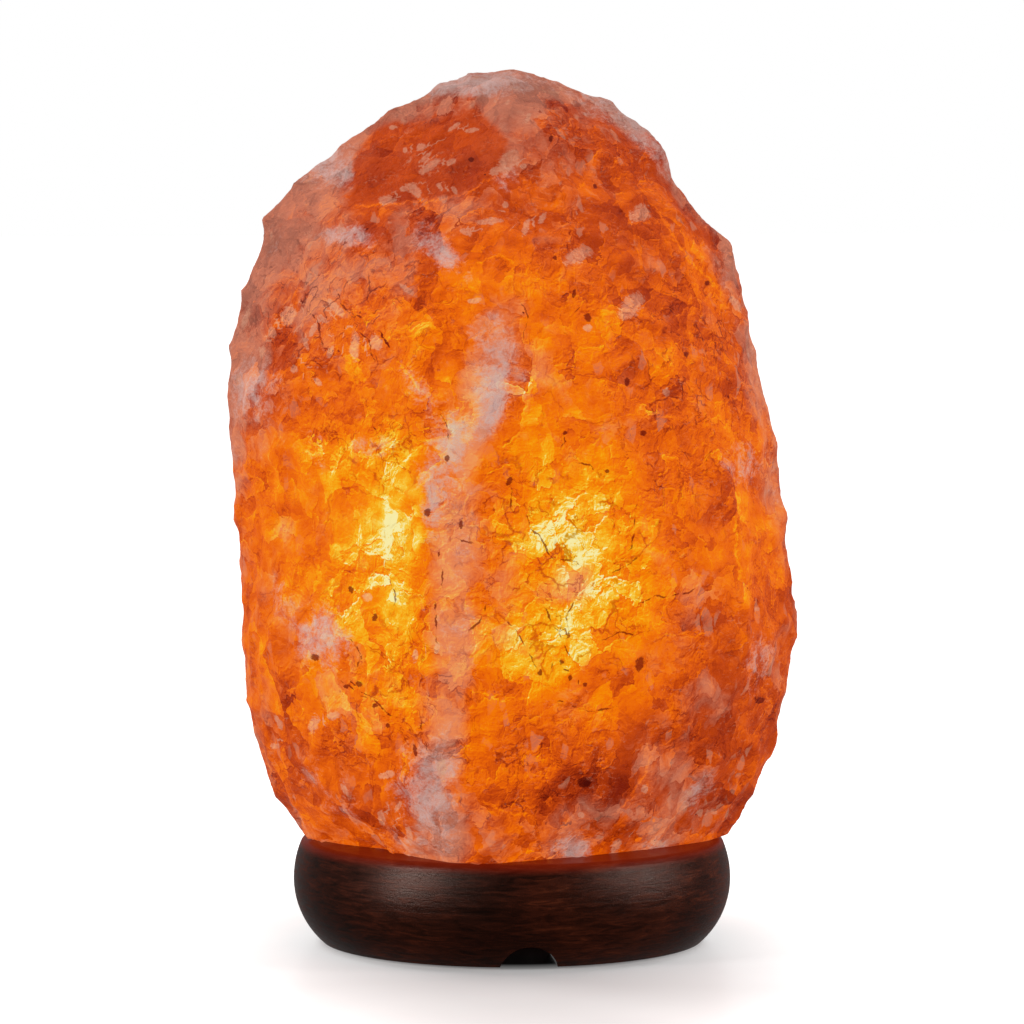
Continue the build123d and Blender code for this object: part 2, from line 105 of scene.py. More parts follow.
def smooth_noise(points, size, seed):
    """Gradient noise about -1 to 1 with features of the given size."""
    p = points / size
    low = np.floor(p)
    f = p - low
    fade = f * f * f * (f * (f * 6 - 15) + 10)
    total = np.zeros(len(points))
    for corner in itertools.product((0, 1), repeat=3):
        gradient = hashed(low + corner, seed) * 2 - 1
        weight = np.where(corner, fade, 1 - fade).prod(axis=1)
        total += ((f - corner) * gradient).sum(axis=1) * weight
    return total * NOISE_GAIN


def layered_noise(points, size, seed, octaves=4, keep=0.5):
    """Smooth noise with finer and fainter layers on top, about -1 to 1."""
    total, share, norm = 0.0, 1.0, 0.0
    for octave in range(octaves):
        total = total + share * smooth_noise(points, size / 2**octave, seed + octave)
        norm += share
        share *= keep
    return total / norm


def scalloped(points, size, rise, tilt, step, seed):
    """Chipped surface height: shallow scoops that meet in sharp ridges, each tilted and set back at random.
    size is a scoop's width, rise its depth, tilt the slope and step the set-back of one scoop to the next."""
    p = points / size
    best = np.full(len(points), np.inf)
    for offset in itertools.product((-1, 0, 1), repeat=3):
        home = np.floor(p) + offset
        place = home + hashed(home, seed)
        away = p - place
        lean = (hashed(home, seed + LEAN_SEED) * 2 - 1) * tilt * size
        back = (hashed(home, seed + BACK_SEED)[:, 0] * 2 - 1) * step
        best = np.minimum(best, 4 * rise * (away**2).sum(axis=1) + (away * lean).sum(axis=1) + back)
    return best


def smoothstep(low, high, x):
    t = np.clip((x - low) / (high - low), 0, 1)
    return t * t * (3 - 2 * t)


# ---------------- meshes
def placed(name, mesh):
    """A new object with a mesh, in the scene."""
    piece = bpy.data.objects.new(name, mesh)
    bpy.context.scene.collection.objects.link(piece)
    return piece


def built(name, vertices, faces):
    """A new smooth-shaded object from points in millimetres and faces."""
    mesh = bpy.data.meshes.new(name)
    mesh.from_pydata((vertices * MM).tolist(), [], faces)
    mesh.update()
    mesh.shade_smooth()
    return placed(name, mesh)


def work_copy(node, name):
    """A copy of a CAD node that modifiers are put on."""
    return placed(name + "_work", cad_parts[node].data.copy())


def applied(work, name):
    """A new object with the mesh that a work copy's modifiers give. The work copy is removed."""
    bpy.context.view_layer.update()
    seen = work.evaluated_get(bpy.context.evaluated_depsgraph_get())
    mesh = bpy.data.meshes.new_from_object(seen)
    mesh.name = name
    mesh.materials.clear()
    piece = placed(name, mesh)
    bpy.data.objects.remove(work)
    return piece


def dense_copy(node, name, voxel, worn_steps):
    """A dense closed copy of a CAD node's mesh, its edges worn round."""
    work = work_copy(node, name)
    remesh = work.modifiers.new("remesh", "REMESH")
    remesh.mode = "VOXEL"
    remesh.voxel_size = voxel
    remesh.use_smooth_shade = True
    work.modifiers.new("worn", "SMOOTH").iterations = worn_steps
    return applied(work, name)


def read(mesh, what):
    """The place ("co") or the "normal" of each of a mesh's points."""
    values = np.empty(len(mesh.vertices) * 3)
    mesh.vertices.foreach_get(what, values)
    return values.reshape(-1, 3)


# ---------------- salt crystal
CRYSTAL_VOXEL = 1.05 * MM
WORN_STEPS = 5  # how far the hewn edges are rounded
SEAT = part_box("salt_crystal")[0][2]
SEAT_MARGIN = 0.6 * MM  # above the flat seat on the base, which stays flat
BORE_RADIUS = 23.0 * MM
BORE_TOP = SEAT + 104.0 * MM
BORE_MARGIN = 1.5 * MM  # of the bore's wall, which stays smooth
SCOOPS = (
    # share, then width, depth, tilt and set-back in millimetres, and seed
    (0.35, 24.0, 0.9, 0.05, 0.35, 11),
    (0.8, 10.0, 0.55, 0.09, 0.25, 23),
    (0.8, 4.6, 0.28, 0.09, 0.12, 31),
)
GRIT = (8.0, 5, 4, 0.6)  # size in millimetres, seed, layers and what each keeps of the last
GRIT_DEPTH = 0.5  # millimetres


def hewn(mesh):
    """Chips a mesh outside its bore and seat. Gives how far each point went out and its normal before."""
    points, normals = read(mesh, "co"), read(mesh, "normal")
    radius, height = np.hypot(points[:, 0], points[:, 1]), points[:, 2]
    in_bore = (radius < BORE_RADIUS + BORE_MARGIN) & (height < BORE_TOP + BORE_MARGIN)
    on_seat = (height < SEAT + SEAT_MARGIN) & (normals[:, 2] < -0.5)
    rough = np.where(in_bore | on_seat, 0.0, 1.0)
    relief = sum(share * scalloped(points / MM, *scoop) for share, *scoop in SCOOPS)
    relief = relief + GRIT_DEPTH * layered_noise(points / MM, *GRIT)
    relief -= relief[rough > 0].mean()
    points = points + normals * (relief * rough * MM)[:, None]
    points[:, 2] = np.maximum(points[:, 2], SEAT)
    mesh.vertices.foreach_set("co", points.ravel())
    mesh.update()
    mesh.shade_smooth()
    return relief, normals


crystal = dense_copy("salt_crystal", "crystal", CRYSTAL_VOXEL, WORN_STEPS)
relief, normals_before = hewn(crystal.data)


# ---------------- the crystal's glow and stains
PAINTED_LIGHT_WAY = 0.8 * UPWARD - 0.6 * RIGHTWARD  # slopes and relief that face this way are painted brighter, the others darker: painted light and shade
FRONT_FADE = (-21 * MM, -3 * MM)  # how far before the middle the marks of the front begin and are full
EDGE_BAND = 8  # steps between the places where the outline is found
FAR = 99.0  # steps or ovals, out of any mark's reach
WANDER = (12, 16.0, 301, 4)  # reach in steps, size in millimetres, seed and layers
FACET_WANDER = (5, 7.0, 321, 3)


def in_oval(across, down, x, y, wide, tall, turn=0):
    """Places along and aside from the middle of an oval turned by degrees, in shares of its half sizes."""
    c, s = math.cos(math.radians(turn)), math.sin(math.radians(turn))
    dx, dy = across - x, down - y
    return (dx * c + dy * s) / wide, (-dx * s + dy * c) / tall


class Skin:
    """The crystal's surface, with values stored at its points. Marks on its front are placed across and down
    in steps of the frame."""

    def __init__(self, mesh):
        points = read(mesh, "co")
        self.mesh = mesh
        self.mm_points = points / MM
        self.across, self.down = front_steps(points)
        self.front = smoothstep(*FRONT_FADE, points @ FACING)
        self.u, self.v = self.wandering(*WANDER)

    def wandering(self, reach, size, seed, layers):
        """Places across and down that wander by a few steps, so that the marks' edges are ragged."""
        return (self.across + reach * layered_noise(self.mm_points, size, seed, layers, 0.6),
                self.down + reach * layered_noise(self.mm_points, size, seed + 10, layers, 0.6))

    def store(self, name, values):
        layer = self.mesh.attributes.new(name, "FLOAT", "POINT")
        layer.data.foreach_set("value", values.astype(np.float32))

    def store_both(self, name, ahead, behind=0.0):
        """Stores values of the front that pass over into others round the sides."""
        self.store(name, self.front * ahead + (1 - self.front) * behind)

    def painted(self, marks, edge):
        """Sum of soft ovals. A mark is its place, half width, half height and strength, and then, where they
        aren't 0 and edge, its turn in degrees and the share of it that fades."""
        total = 0.0
        for mark in marks:
            x, y, wide, tall, strength, turn, soft = (*mark, *(0, edge)[len(mark) - 5:])
            away = np.hypot(*in_oval(self.u, self.v, x, y, wide, tall, turn))
            total = total + strength * (1 - smoothstep(1 - soft, 1 + soft, away))
        return total

    def inside(self, outline, soft):
        """1 inside a many-cornered outline and 0 outside, fading over soft steps."""
        x, y = self.wandering(*FACET_WANDER)
        nearest = np.full(len(x), FAR)
        within = np.zeros(len(x), bool)
        for (x0, y0), (x1, y1) in zip(outline, outline[1:] + outline[:1]):
            length = (x1 - x0)**2 + (y1 - y0)**2
            t = np.clip(((x - x0) * (x1 - x0) + (y - y0) * (y1 - y0)) / length, 0, 1)
            nearest = np.minimum(nearest, np.hypot(x - x0 - t * (x1 - x0), y - y0 - t * (y1 - y0)))
            if y0 != y1:
                within ^= ((y0 > y) != (y1 > y)) & (x < (x1 - x0) * (y - y0) / (y1 - y0) + x0)
        return smoothstep(-soft, soft, np.where(within, nearest, -nearest))

    def from_outline(self):
        """How many steps each place lies inside the crystal's outline, seen from the front."""
        rows, columns = (self.down // EDGE_BAND).astype(int), (self.across // EDGE_BAND).astype(int)
        left, right = np.full(rows.max() + 1, float(FRAME_SIDE)), np.zeros(rows.max() + 1)
        top = np.full(columns.max() + 1, float(FRAME_SIDE))
        np.minimum.at(left, rows, self.across)
        np.maximum.at(right, rows, self.across)
        np.minimum.at(top, columns, self.down)
        return np.minimum(np.minimum(self.u - left[rows], right[rows] - self.u), self.v - top[columns])

    def store_lines(self, name, lines):
        """Stores how many steps each point lies to one side of the nearest bent line, and, with _near at the
        end of the name, where that counts: on the front, beside a line and not past its ends."""
        nearest, side, past = np.full((3, len(self.across)), FAR)
        for line in lines:
            for i, ((x0, y0), (x1, y1)) in enumerate(zip(line, line[1:])):
                length = math.hypot(x1 - x0, y1 - y0)
                dx, dy = self.across - x0, self.down - y0
                along = (dx * (x1 - x0) + dy * (y1 - y0)) / length
                aside = (dx * (y1 - y0) - dy * (x1 - x0)) / length
                away = np.hypot(along - np.clip(along, 0, length), aside)
                before = -along if i == 0 else 0
                beyond = along - length if i == len(line) - 2 else 0
                closer = away < nearest
                nearest = np.where(closer, away, nearest)
                side = np.where(closer, np.where(aside < 0, -away, away), side)
                past = np.where(closer, np.maximum(before, beyond), past)
        near = (1 - smoothstep(5, 9, nearest)) * (1 - smoothstep(-1, 3, past))
        self.store(name, side)
        self.store_both(name + "_near", near)

    def store_spots(self, name, spots):
        """Stores where each point lies in the nearest oval, in shares of its half sizes, and, with _near at
        the end of the name, whether it is on the front and within a few steps of one."""
        nearest = np.full(len(self.across), FAR)
        places = np.full((2, len(self.across)), FAR)
        for x, y, wide, tall, *turn in spots:
            along, aside = in_oval(self.across, self.down, x, y, wide, tall, *turn)
            away = (np.hypot(along, aside) - 1) * min(wide, tall)
            closer = away < nearest
            nearest = np.where(closer, away, nearest)
            places = np.where(closer, (along, aside), places)
        self.store(name + "_along", places[0])
        self.store(name + "_aside", places[1])
        self.store(name + "_near", np.where((self.front > 0.5) & (nearest < 8), 1.0, 0.0))


skin = Skin(crystal.data)

# marks of the front: across, down, half width, half height, strength, and where needed turn and softness
GLOW_MARKS = (
    (500, 570, 330, 260, 0.27, 0, 0.9), (540, 330, 190, 130, 0.12, 0, 0.9), (335, 570, 90, 150, 0.12),
    (375, 690, 55, 70, 0.11, 15, 0.7), (365, 650, 34, 40, -0.05), (440, 435, 30, 34, 0.06),
    (528, 568, 20, 34, 0.05), (385, 550, 48, 95, 0.16, 4, 0.7), (395, 535, 20, 44, 0.16),
    (405, 450, 22, 26, 0.14, 20), (398, 618, 16, 22, 0.12), (585, 520, 62, 75, 0.14, -10, 0.7),
    (570, 540, 34, 40, 0.14), (590, 605, 34, 42, 0.16, -30, 0.7), (545, 655, 42, 34, 0.17, 0, 0.7),
    (525, 650, 60, 60, 0.08), (640, 590, 50, 60, 0.08), (754, 545, 26, 60, 0.17), (470, 300, 30, 30, 0.03),
    (560, 600, 95, 95, 0.08), (605, 605, 30, 22, 0.12, -40), (425, 430, 40, 50, 0.05),
    (392, 545, 24, 40, 0.07, 5), (715, 700, 60, 90, -0.14), (622, 730, 40, 44, 0.04),
    (610, 810, 80, 40, -0.07), (540, 130, 36, 12, 0.1, -6, 0.7), (650, 470, 60, 60, -0.04),
    (690, 255, 16, 70, 0.14, -36, 0.7), (412, 212, 52, 10, 0.14, -6, 0.6), (290, 465, 50, 40, 0.06),
    (285, 232, 30, 40, -0.08), (455, 212, 24, 16, -0.08), (260, 435, 24, 30, -0.06),
    (590, 572, 18, 12, -0.12, 0, 0.7), (735, 820, 30, 30, -0.08), (500, 540, 16, 24, 0.08),
    (515, 765, 26, 26, 0.08), (530, 630, 16, 16, 0.09), (410, 722, 16, 22, 0.08), (318, 668, 18, 18, 0.07),
)
FRONT_GLOW = 0.27  # where the front has no mark
FAR_GLOW = 0.30  # behind, far from the bulb
BULB_GLOW = 0.42  # behind, added level with the bulb
BULB_LEVEL, BULB_SPREAD = 84.0, 58.0  # millimetres
level = (skin.mm_points[:, 2] - BULB_LEVEL) / BULB_SPREAD
glow_behind = FAR_GLOW + BULB_GLOW * np.exp(-level**2) + 0.14 * layered_noise(skin.mm_points, 34.0, 401, 3)
skin.store_both("glow", FRONT_GLOW + skin.painted(GLOW_MARKS, 0.8), glow_behind)

# the pale ridge that runs down the middle of the front
RIDGE = ((505, 300), (485, 350), (478, 410), (462, 450), (452, 500), (450, 560), (452, 620), (448, 680),
         (446, 740), (440, 800))
RIDGE_HALF_WIDTH = 24.0  # steps
ridge_across = np.interp(skin.v, [y for _, y in RIDGE], [x for x, _ in RIDGE])
ridge = np.exp(-((skin.u - ridge_across) / RIDGE_HALF_WIDTH)**4) * smoothstep(280, 330, skin.v)

FROST_MARKS = (
    (652, 145, 14, 34, 0.7, -35, 0.8), (345, 176, 16, 12, 0.5, -30), (442, 455, 20, 52, 0.75, 8),
    (415, 385, 15, 30, 0.6, -20), (428, 520, 12, 34, 0.45), (470, 560, 20, 60, 0.25, 0, 0.8),
    (480, 84, 60, 14, 0.8, 0, 0.6), (600, 105, 40, 20, 0.5, 40), (345, 237, 32, 12, 1.0, 0, 0.6),
    (430, 244, 22, 16, 0.8, 30), (455, 266, 26, 12, 0.7, 35), (262, 385, 22, 32, 0.65, 20),
    (292, 305, 18, 40, 0.35, 20), (316, 450, 16, 24, 0.6), (374, 446, 26, 13, 0.8), (322, 632, 26, 32, 1.0),
    (283, 600, 14, 22, 0.5), (738, 462, 22, 30, 0.9), (758, 662, 14, 34, 0.6, 10),
    (703, 785, 14, 30, 0.6, 20), (576, 850, 22, 14, 0.9), (655, 845, 22, 10, 0.5),
    (425, 795, 42, 48, 0.72, 0, 0.8), (490, 395, 16, 40, 0.75), (335, 165, 24, 26, 0.6),
    (510, 178, 16, 16, 0.6), (480, 330, 30, 24, 0.5), (510, 375, 18, 40, 0.6), (320, 790, 40, 40, 0.5),
)
skin.store_both("frost", skin.painted(FROST_MARKS, 0.7) + 0.3 * ridge,
                0.9 * smoothstep(0.05, 0.6, layered_noise(skin.mm_points, 30.0, 501, 4)))

# the darker hewn face at the top left, and other dark places
FACET = ((354, 156), (374, 130), (401, 121), (430, 127), (458, 113), (477, 104), (492, 124), (508, 138),
         (503, 152), (497, 172), (480, 182), (462, 196), (404, 201), (353, 201))
facet = skin.inside(FACET, 3.0)
skin.store_both("facet", facet)
DARK_MARKS = (
    (425, 160, 70, 34, 0.9, -12, 0.5), (500, 112, 50, 22, 0.6, 0, 0.6), (590, 782, 40, 26, 0.9, 0, 0.7),
    (560, 760, 60, 40, 0.5), (620, 255, 70, 50, 0.4), (650, 350, 50, 60, 0.4), (290, 340, 40, 60, 0.25),
    (700, 730, 70, 70, 0.3), (330, 760, 40, 40, 0.3), (731, 387, 12, 16, 0.9, 0, 0.6),
    (535, 145, 40, 24, 0.5), (620, 815, 60, 34, 0.35),
)
skin.store_both("dark", skin.painted(DARK_MARKS, 0.8) * (1 - facet),
                0.6 * smoothstep(0.1, 0.6, layered_noise(skin.mm_points, 34.0, 601, 3)))

# a band along the front's outline, wider near the top: painted shade, as little light comes through the thin
# edges, and a painted pale, milky and frosted sheen where the surface turns away
EDGE_WIDTH, UPPER_EDGE_WIDTH = 16, 42  # steps
upper = smoothstep(40, 150, skin.mm_points[:, 2])
edge_width = EDGE_WIDTH + (UPPER_EDGE_WIDTH - EDGE_WIDTH) * upper
skin.store_both("edge", (1 - smoothstep(0, edge_width, skin.from_outline())) * (0.4 + 0.6 * upper))

MILK_MARKS = (
    (290, 300, 60, 110, 0.45, 15), (560, 195, 90, 50, 0.2), (738, 250, 12, 30, 0.7, -20),
    (650, 330, 60, 60, 0.1), (470, 590, 40, 260, 0.3, 4, 0.6), (570, 588, 28, 22, 0.5, 0, 0.6),
    (700, 740, 70, 110, 0.28, 10), (320, 720, 60, 100, 0.3, -10), (540, 835, 160, 36, 0.3),
    (510, 105, 40, 30, 0.4, -20), (500, 110, 200, 50, 0.35), (322, 195, 32, 56, 0.5, 20, 0.8),
    (470, 215, 30, 36, 0.2, 0, 0.8), (405, 252, 24, 26, 0.4, 0, 0.8), (560, 170, 50, 34, 0.1, 0, 0.8),
    (515, 370, 34, 60, 0.35), (350, 300, 50, 40, 0.3), (610, 420, 50, 40, 0.15, 0, 0.8),
    (300, 560, 30, 60, 0.25, 0, 0.8), (650, 790, 50, 40, 0.08, 0, 0.8),
)
skin.store_both("milk", 0.2 + skin.painted(MILK_MARKS, 0.7) + 0.45 * ridge,
                0.35 + 0.5 * layered_noise(skin.mm_points, 32.0, 701, 3))

CRACKLE_MARKS = (
    (340, 305, 75, 65, 0.8), (400, 700, 60, 60, 0.5), (690, 370, 60, 90, 0.5), (380, 440, 60, 40, 0.5),
    (570, 560, 90, 110, 0.5), (520, 790, 60, 50, 0.5),
)
skin.store_both("crackle", 0.3 + skin.painted(CRACKLE_MARKS, 0.7), 0.5)

CRACKS = (
    ((436, 539), (441, 562), (443, 586)), ((454, 537), (462, 541), (471, 543)),
    ((527, 512), (530, 528), (539, 536), (548, 552), (556, 561), (571, 560), (580, 565), (588, 570)),
    ((603, 582), (610, 575), (616, 570), (628, 566), (636, 557)),
    ((342, 681), (356, 690), (372, 697), (385, 712), (398, 718)),
    ((546, 610), (556, 628), (563, 640), (568, 655)), ((508, 622), (520, 636), (530, 655), (537, 668)),
    ((436, 600), (435, 620), (437, 641)), ((640, 604), (655, 596), (672, 597), (694, 590)),
    ((424, 700), (421, 724), (427, 750)), ((510, 508), (513, 490), (508, 476)),
    ((438, 408), (446, 422), (449, 440)), ((372, 424), (378, 436)), ((700, 480), (708, 470), (706, 458)),
    ((560, 450), (566, 440), (563, 430)), ((640, 500), (634, 512), (636, 530), (630, 548)),
    ((578, 462), (592, 466), (600, 476)), ((575, 600), (566, 616), (570, 636)),
    ((486, 606), (480, 622), (470, 630)), ((350, 640), (362, 655), (358, 668)),
    ((300, 300), (318, 322), (322, 345)), ((336, 290), (345, 310), (362, 318)),
    ((352, 326), (368, 340), (374, 360)), ((380, 330), (392, 352)), ((560, 700), (590, 712), (622, 706)),
    ((390, 580), (396, 596), (392, 612)), ((604, 640), (620, 632), (640, 636)),
    ((520, 300), (528, 316), (524, 336)),
)
skin.store_lines("crack", CRACKS)

LEDGES = (
    ((357, 206), (385, 205), (408, 202), (436, 200), (461, 197), (474, 190), (485, 181), (498, 176)),
    ((478, 262), (500, 256), (512, 262)), ((652, 205), (668, 228), (686, 256), (706, 276), (722, 294)),
    ((398, 360), (410, 378), (421, 392)), ((520, 398), (529, 384), (536, 372)),
    ((614, 813), (634, 794), (651, 759)), ((470, 690), (500, 700), (530, 698)),
    ((478, 800), (505, 812), (530, 816)), ((730, 470), (738, 500), (735, 540), (741, 580)),
)
skin.store_lines("ledge", LEDGES)

# small ovals: across, down, half width, half height, and a turn where there is one
SPECKS = (
    (640, 664, 4.5, 8, 10), (375, 617, 2.6, 4, 20), (359, 684, 3.6, 2.8, 40), (584, 782, 7, 5, -20),
    (447, 458, 2.4, 3.2), (509, 482, 2.6, 5, 30), (346, 687, 3, 2, -10), (565, 433, 2.2, 2.2),
    (643, 433, 3.4, 2.4), (427, 513, 3, 4, 30), (375, 706, 3, 2.4), (388, 726, 2.4, 2.4),
    (588, 318, 3.4, 4.6, -30), (707, 283, 2.6, 2.6, 30), (627, 382, 2.6, 4), (686, 354, 2.4, 3),
    (562, 662, 2.4, 2.4), (570, 677, 2.2, 3), (585, 685, 2.2, 2.2), (595, 186, 2.2, 2.2),
    (471, 160, 2.6, 2.6), (551, 138, 2, 3.4, 10), (607, 471, 2.2, 2.2), (760, 700, 5, 4),
    (315, 657, 4.5, 3), (540, 673, 2.4, 3.4), (351, 590, 2.4, 4, -20), (415, 750, 2, 5, -10),
    (555, 258, 2.2, 2.2), (574, 294, 2, 4, 10), (461, 525, 2, 4.2),
)
skin.store_spots("speck", SPECKS)

CHIPS = (
    (430, 166, 12, 4.5, -35), (451, 162, 5, 3, -20), (416, 192, 10, 4.5, 48), (404, 189, 3.4, 2.8),
    (440, 187, 5, 2.2, 55), (454, 190, 6.5, 2.4, 60), (508, 162, 13, 8, -45), (494, 171, 4.5, 4),
    (393, 127, 4, 2.4), (426, 157, 9, 2.4, -40), (421, 147, 5, 4), (405, 150, 2.4, 3.2),
    (473, 130, 7, 2.2, -10), (454, 127, 9, 2.2, -35), (489, 221, 13, 3.4, -5), (526, 227, 9, 3.6, -70),
    (542, 219, 7, 3, -60), (386, 200, 8, 5), (523, 166, 3, 3), (528, 118, 5, 2.2, -70),
    (314, 724, 5, 9, 10), (333, 716, 6, 4, -20), (387, 775, 7, 3.6, -15), (381, 818, 4, 8, -20),
    (409, 834, 3, 9, -15), (278, 722, 3, 8, -20), (274, 746, 5, 3), (442, 769, 5, 12), (367, 597, 6, 4),
    (288, 315, 8, 11, 10), (336, 308, 12, 4, 45), (272, 332, 4, 6), (355, 346, 5.5, 13),
    (376, 343, 6, 8, -20), (246, 319, 3, 10, 20), (294, 369, 4, 4), (408, 290, 9, 2.8, 35),
    (474, 301, 7, 2.6, -10), (641, 213, 10, 8, -20), (577, 256, 13, 7, -25), (631, 306, 15, 9, -50),
    (666, 392, 4, 4), (735, 304, 4, 10, -35), (588, 328, 5, 3.6), (645, 789, 3.4, 4.4, 10),
    (700, 813, 3, 3.8), (714, 812, 3, 3), (581, 815, 3, 3), (616, 846, 9, 4, -60), (657, 843, 8, 3, 10),
    (690, 793, 3, 3), (757, 609, 2.4, 2.4), (330, 352, 3, 6, 30), (313, 330, 3, 8, 25),
    (306, 344, 2.6, 6, -20), (322, 318, 7, 2.4, 40), (415, 655, 2.6, 7, 10), (262, 352, 3, 7, 10),
    (318, 382, 3, 5, -40), (345, 790, 3, 8, -25), (398, 806, 2.6, 6, 30), (437, 648, 2.6, 6, 15),
    (466, 232, 6, 3, 20), (505, 205, 3, 3),
)
skin.store_spots("chip", CHIPS)

# painted shade and light of the hewn relief: darker in its hollows, brighter on its raised parts, and
# brighter on slopes that face the painted light's way
skin.store("hollow_shade", (relief - relief.mean()) / (2 * relief.std()))
skin.store_both("slope", (read(crystal.data, "normal") - normals_before) @ PAINTED_LIGHT_WAY)


# ---------------- materials
class Nodes:
    """Short hand for building a node tree."""

    def __init__(self, name):
        self.material = bpy.data.materials.new(name)
        self.material.use_nodes = True
        self.tree = self.material.node_tree
        self.tree.nodes.clear()
        self.output = self.add("ShaderNodeOutputMaterial")
        self.shader = self.add("ShaderNodeBsdfPrincipled")
        self.put(self.output.inputs["Surface"], self.shader.outputs[0])

    def add(self, kind, **settings):
        node = self.tree.nodes.new(kind)
        for key, value in settings.items():
            setattr(node, key, value)
        return node

    def put(self, socket, value):
        if isinstance(value, bpy.types.NodeSocket):
            self.tree.links.new(value, socket)
        elif isinstance(value, tuple) and len(value) == 3 and socket.type == "RGBA":
            socket.default_value = (*value, 1.0)
        else:
            socket.default_value = value

    def set(self, **values):
        """Links or sets the shader's own sockets."""
        for name, value in values.items():
            self.put(self.shader.inputs[name.replace("_", " ")], value)

    def math(self, operation, *values):
        """A chain of one operation on several values, or one operation on a single value."""
        total = values[0]
        for value in values[1:] or (0.0,):
            node = self.add("ShaderNodeMath", operation=operation)
            self.put(node.inputs[0], total)
            self.put(node.inputs[1], value)
            total = node.outputs[0]
        return total

    def plus(self, *values):
        return self.math("ADD", *values)

    def times(self, *values):
        return self.math("MULTIPLY", *values)

    def most(self, *values):
        return self.math("MAXIMUM", *values)

    def vector(self, operation, a, b):
        node = self.add("ShaderNodeVectorMath", operation=operation)
        self.put(node.inputs[0], a)
        self.put(node.inputs["Scale"] if operation == "SCALE" else node.inputs[1], b)
        return node.outputs["Value" if operation in ("DOT_PRODUCT", "LENGTH") else "Vector"]

    def length(self, vector):
        return self.vector("LENGTH", vector, (0, 0, 0))

    def mask(self, name):
        """A value stored on the mesh."""
        return self.add("ShaderNodeAttribute", attribute_name=name).outputs["Fac"]

    def where(self, scale=(1, 1, 1), turn=(0, 0, 0)):
        """Place on the piece, in metres, stretched and turned."""
        mapping = self.add("ShaderNodeMapping")
        self.put(mapping.inputs["Vector"], self.add("ShaderNodeTexCoord").outputs["Object"])
        mapping.inputs["Scale"].default_value = scale
        mapping.inputs["Rotation"].default_value = turn
        return mapping.outputs[0]

    def noise(self, size, detail=4.0, rough=0.55, warp=0.0, vector=None, out="Fac"):
        """Noise with features of the given size in metres."""
        node = self.add("ShaderNodeTexNoise")
        self.put(node.inputs["Vector"], vector or self.where())
        settings = {"Scale": 1.0 / size, "Detail": detail, "Roughness": rough, "Distortion": warp}
        for name, value in settings.items():
            node.inputs[name].default_value = value
        return node.outputs[out]

    def warped(self, vector, size, reach):
        """Places moved about by noise of a size, by up to half of reach."""
        noise = self.noise(size, 4, 0.6, vector=vector, out="Color")
        away = self.vector("SUBTRACT", noise, (0.5, 0.5, 0.5))
        return self.vector("ADD", vector, self.vector("SCALE", away, reach))

    def cells(self, size, vector, feature="F1"):
        """A pattern of cells of the given size in metres."""
        node = self.add("ShaderNodeTexVoronoi", feature=feature)
        self.put(node.inputs["Vector"], vector)
        node.inputs["Scale"].default_value = 1.0 / size
        return node

    def chance(self, cells, channel):
        """A number from 0 to 1 for each cell."""
        parts = self.add("ShaderNodeSeparateColor")
        self.put(parts.inputs[0], cells.outputs["Color"])
        return parts.outputs[channel]

    def flakes(self, size, vector):
        """For each cell of a pattern: a number from 0 to 1, and a slope across it of about +-0.3."""
        cells = self.cells(size, vector)
        away = self.vector("SUBTRACT", vector, cells.outputs["Position"])
        away = self.vector("SCALE", away, 1.0 / size)
        lean = self.vector("SUBTRACT", cells.outputs["Color"], (0.5, 0.5, 0.5))
        return self.chance(cells, 0), self.vector("DOT_PRODUCT", away, lean)

    def edges(self, size, vector):
        """Distance from the sides of a pattern of cells, as a share of their size."""
        return self.cells(size, vector, "DISTANCE_TO_EDGE").outputs["Distance"]

    def spot(self, name, bend, bow):
        """1 in the ovals kept under a name and 0 outside them, their outlines made ragged by two noises."""
        place = self.add("ShaderNodeCombineXYZ")
        self.put(place.inputs[0], self.plus(self.mask(name + "_along"), self.swing(bend, 0.5)))
        self.put(place.inputs[1], self.plus(self.mask(name + "_aside"), self.swing(bow, 0.5)))
        away = self.length(place.outputs[0])
        return self.times(self.ease(away, 0.8, 1.15, 1, 0), self.mask(name + "_near"))

    def ramp(self, value, *stops):
        """Colours that a value passes through: its places from 0 to 1, each with a screen tone."""
        node = self.add("ShaderNodeValToRGB")
        elements = node.color_ramp.elements
        while len(elements) < len(stops):
            elements.new(0.5)
        for element, (place, *levels) in zip(elements, stops):
            element.position = place
            element.color = (*tone(*levels), 1.0)
        self.put(node.inputs[0], value)
        return node.outputs[0]

    def span(self, value, low, high, out_low=0.0, out_high=1.0, way="LINEAR"):
        """A value that runs from low to high, made to run from out_low to out_high and held there."""
        node = self.add("ShaderNodeMapRange", interpolation_type=way)
        for socket, number in zip(node.inputs, (value, low, high, out_low, out_high)):
            self.put(socket, number)
        return node.outputs[0]

    def ease(self, value, low, high, out_low=0.0, out_high=1.0):
        """A span that starts and ends smoothly."""
        return self.span(value, low, high, out_low, out_high, "SMOOTHSTEP")

    def swing(self, noise, reach):
        """A noise made to swing from -reach to reach."""
        return self.span(noise, 0.3, 0.7, -reach, reach)

    def patches(self, size, vector, low, high, way="LINEAR"):
        """0 to 1 in patches of a size, where a noise passes from low to high."""
        return self.span(self.noise(size, 2, 0.5, vector=vector), low, high, way=way)

    def mix(self, factor, a, b, blend="MIX"):
        node = self.add("ShaderNodeMix", data_type="RGBA", blend_type=blend)
        for socket, value in zip((node.inputs[0], node.inputs[6], node.inputs[7]), (factor, a, b)):
            self.put(socket, value)
        return node.outputs[2]

    def bump(self, height, distance, strength=1.0):
        node = self.add("ShaderNodeBump")
        node.inputs["Strength"].default_value = strength
        node.inputs["Distance"].default_value = distance
        self.put(node.inputs["Height"], height)
        return node.outputs[0]


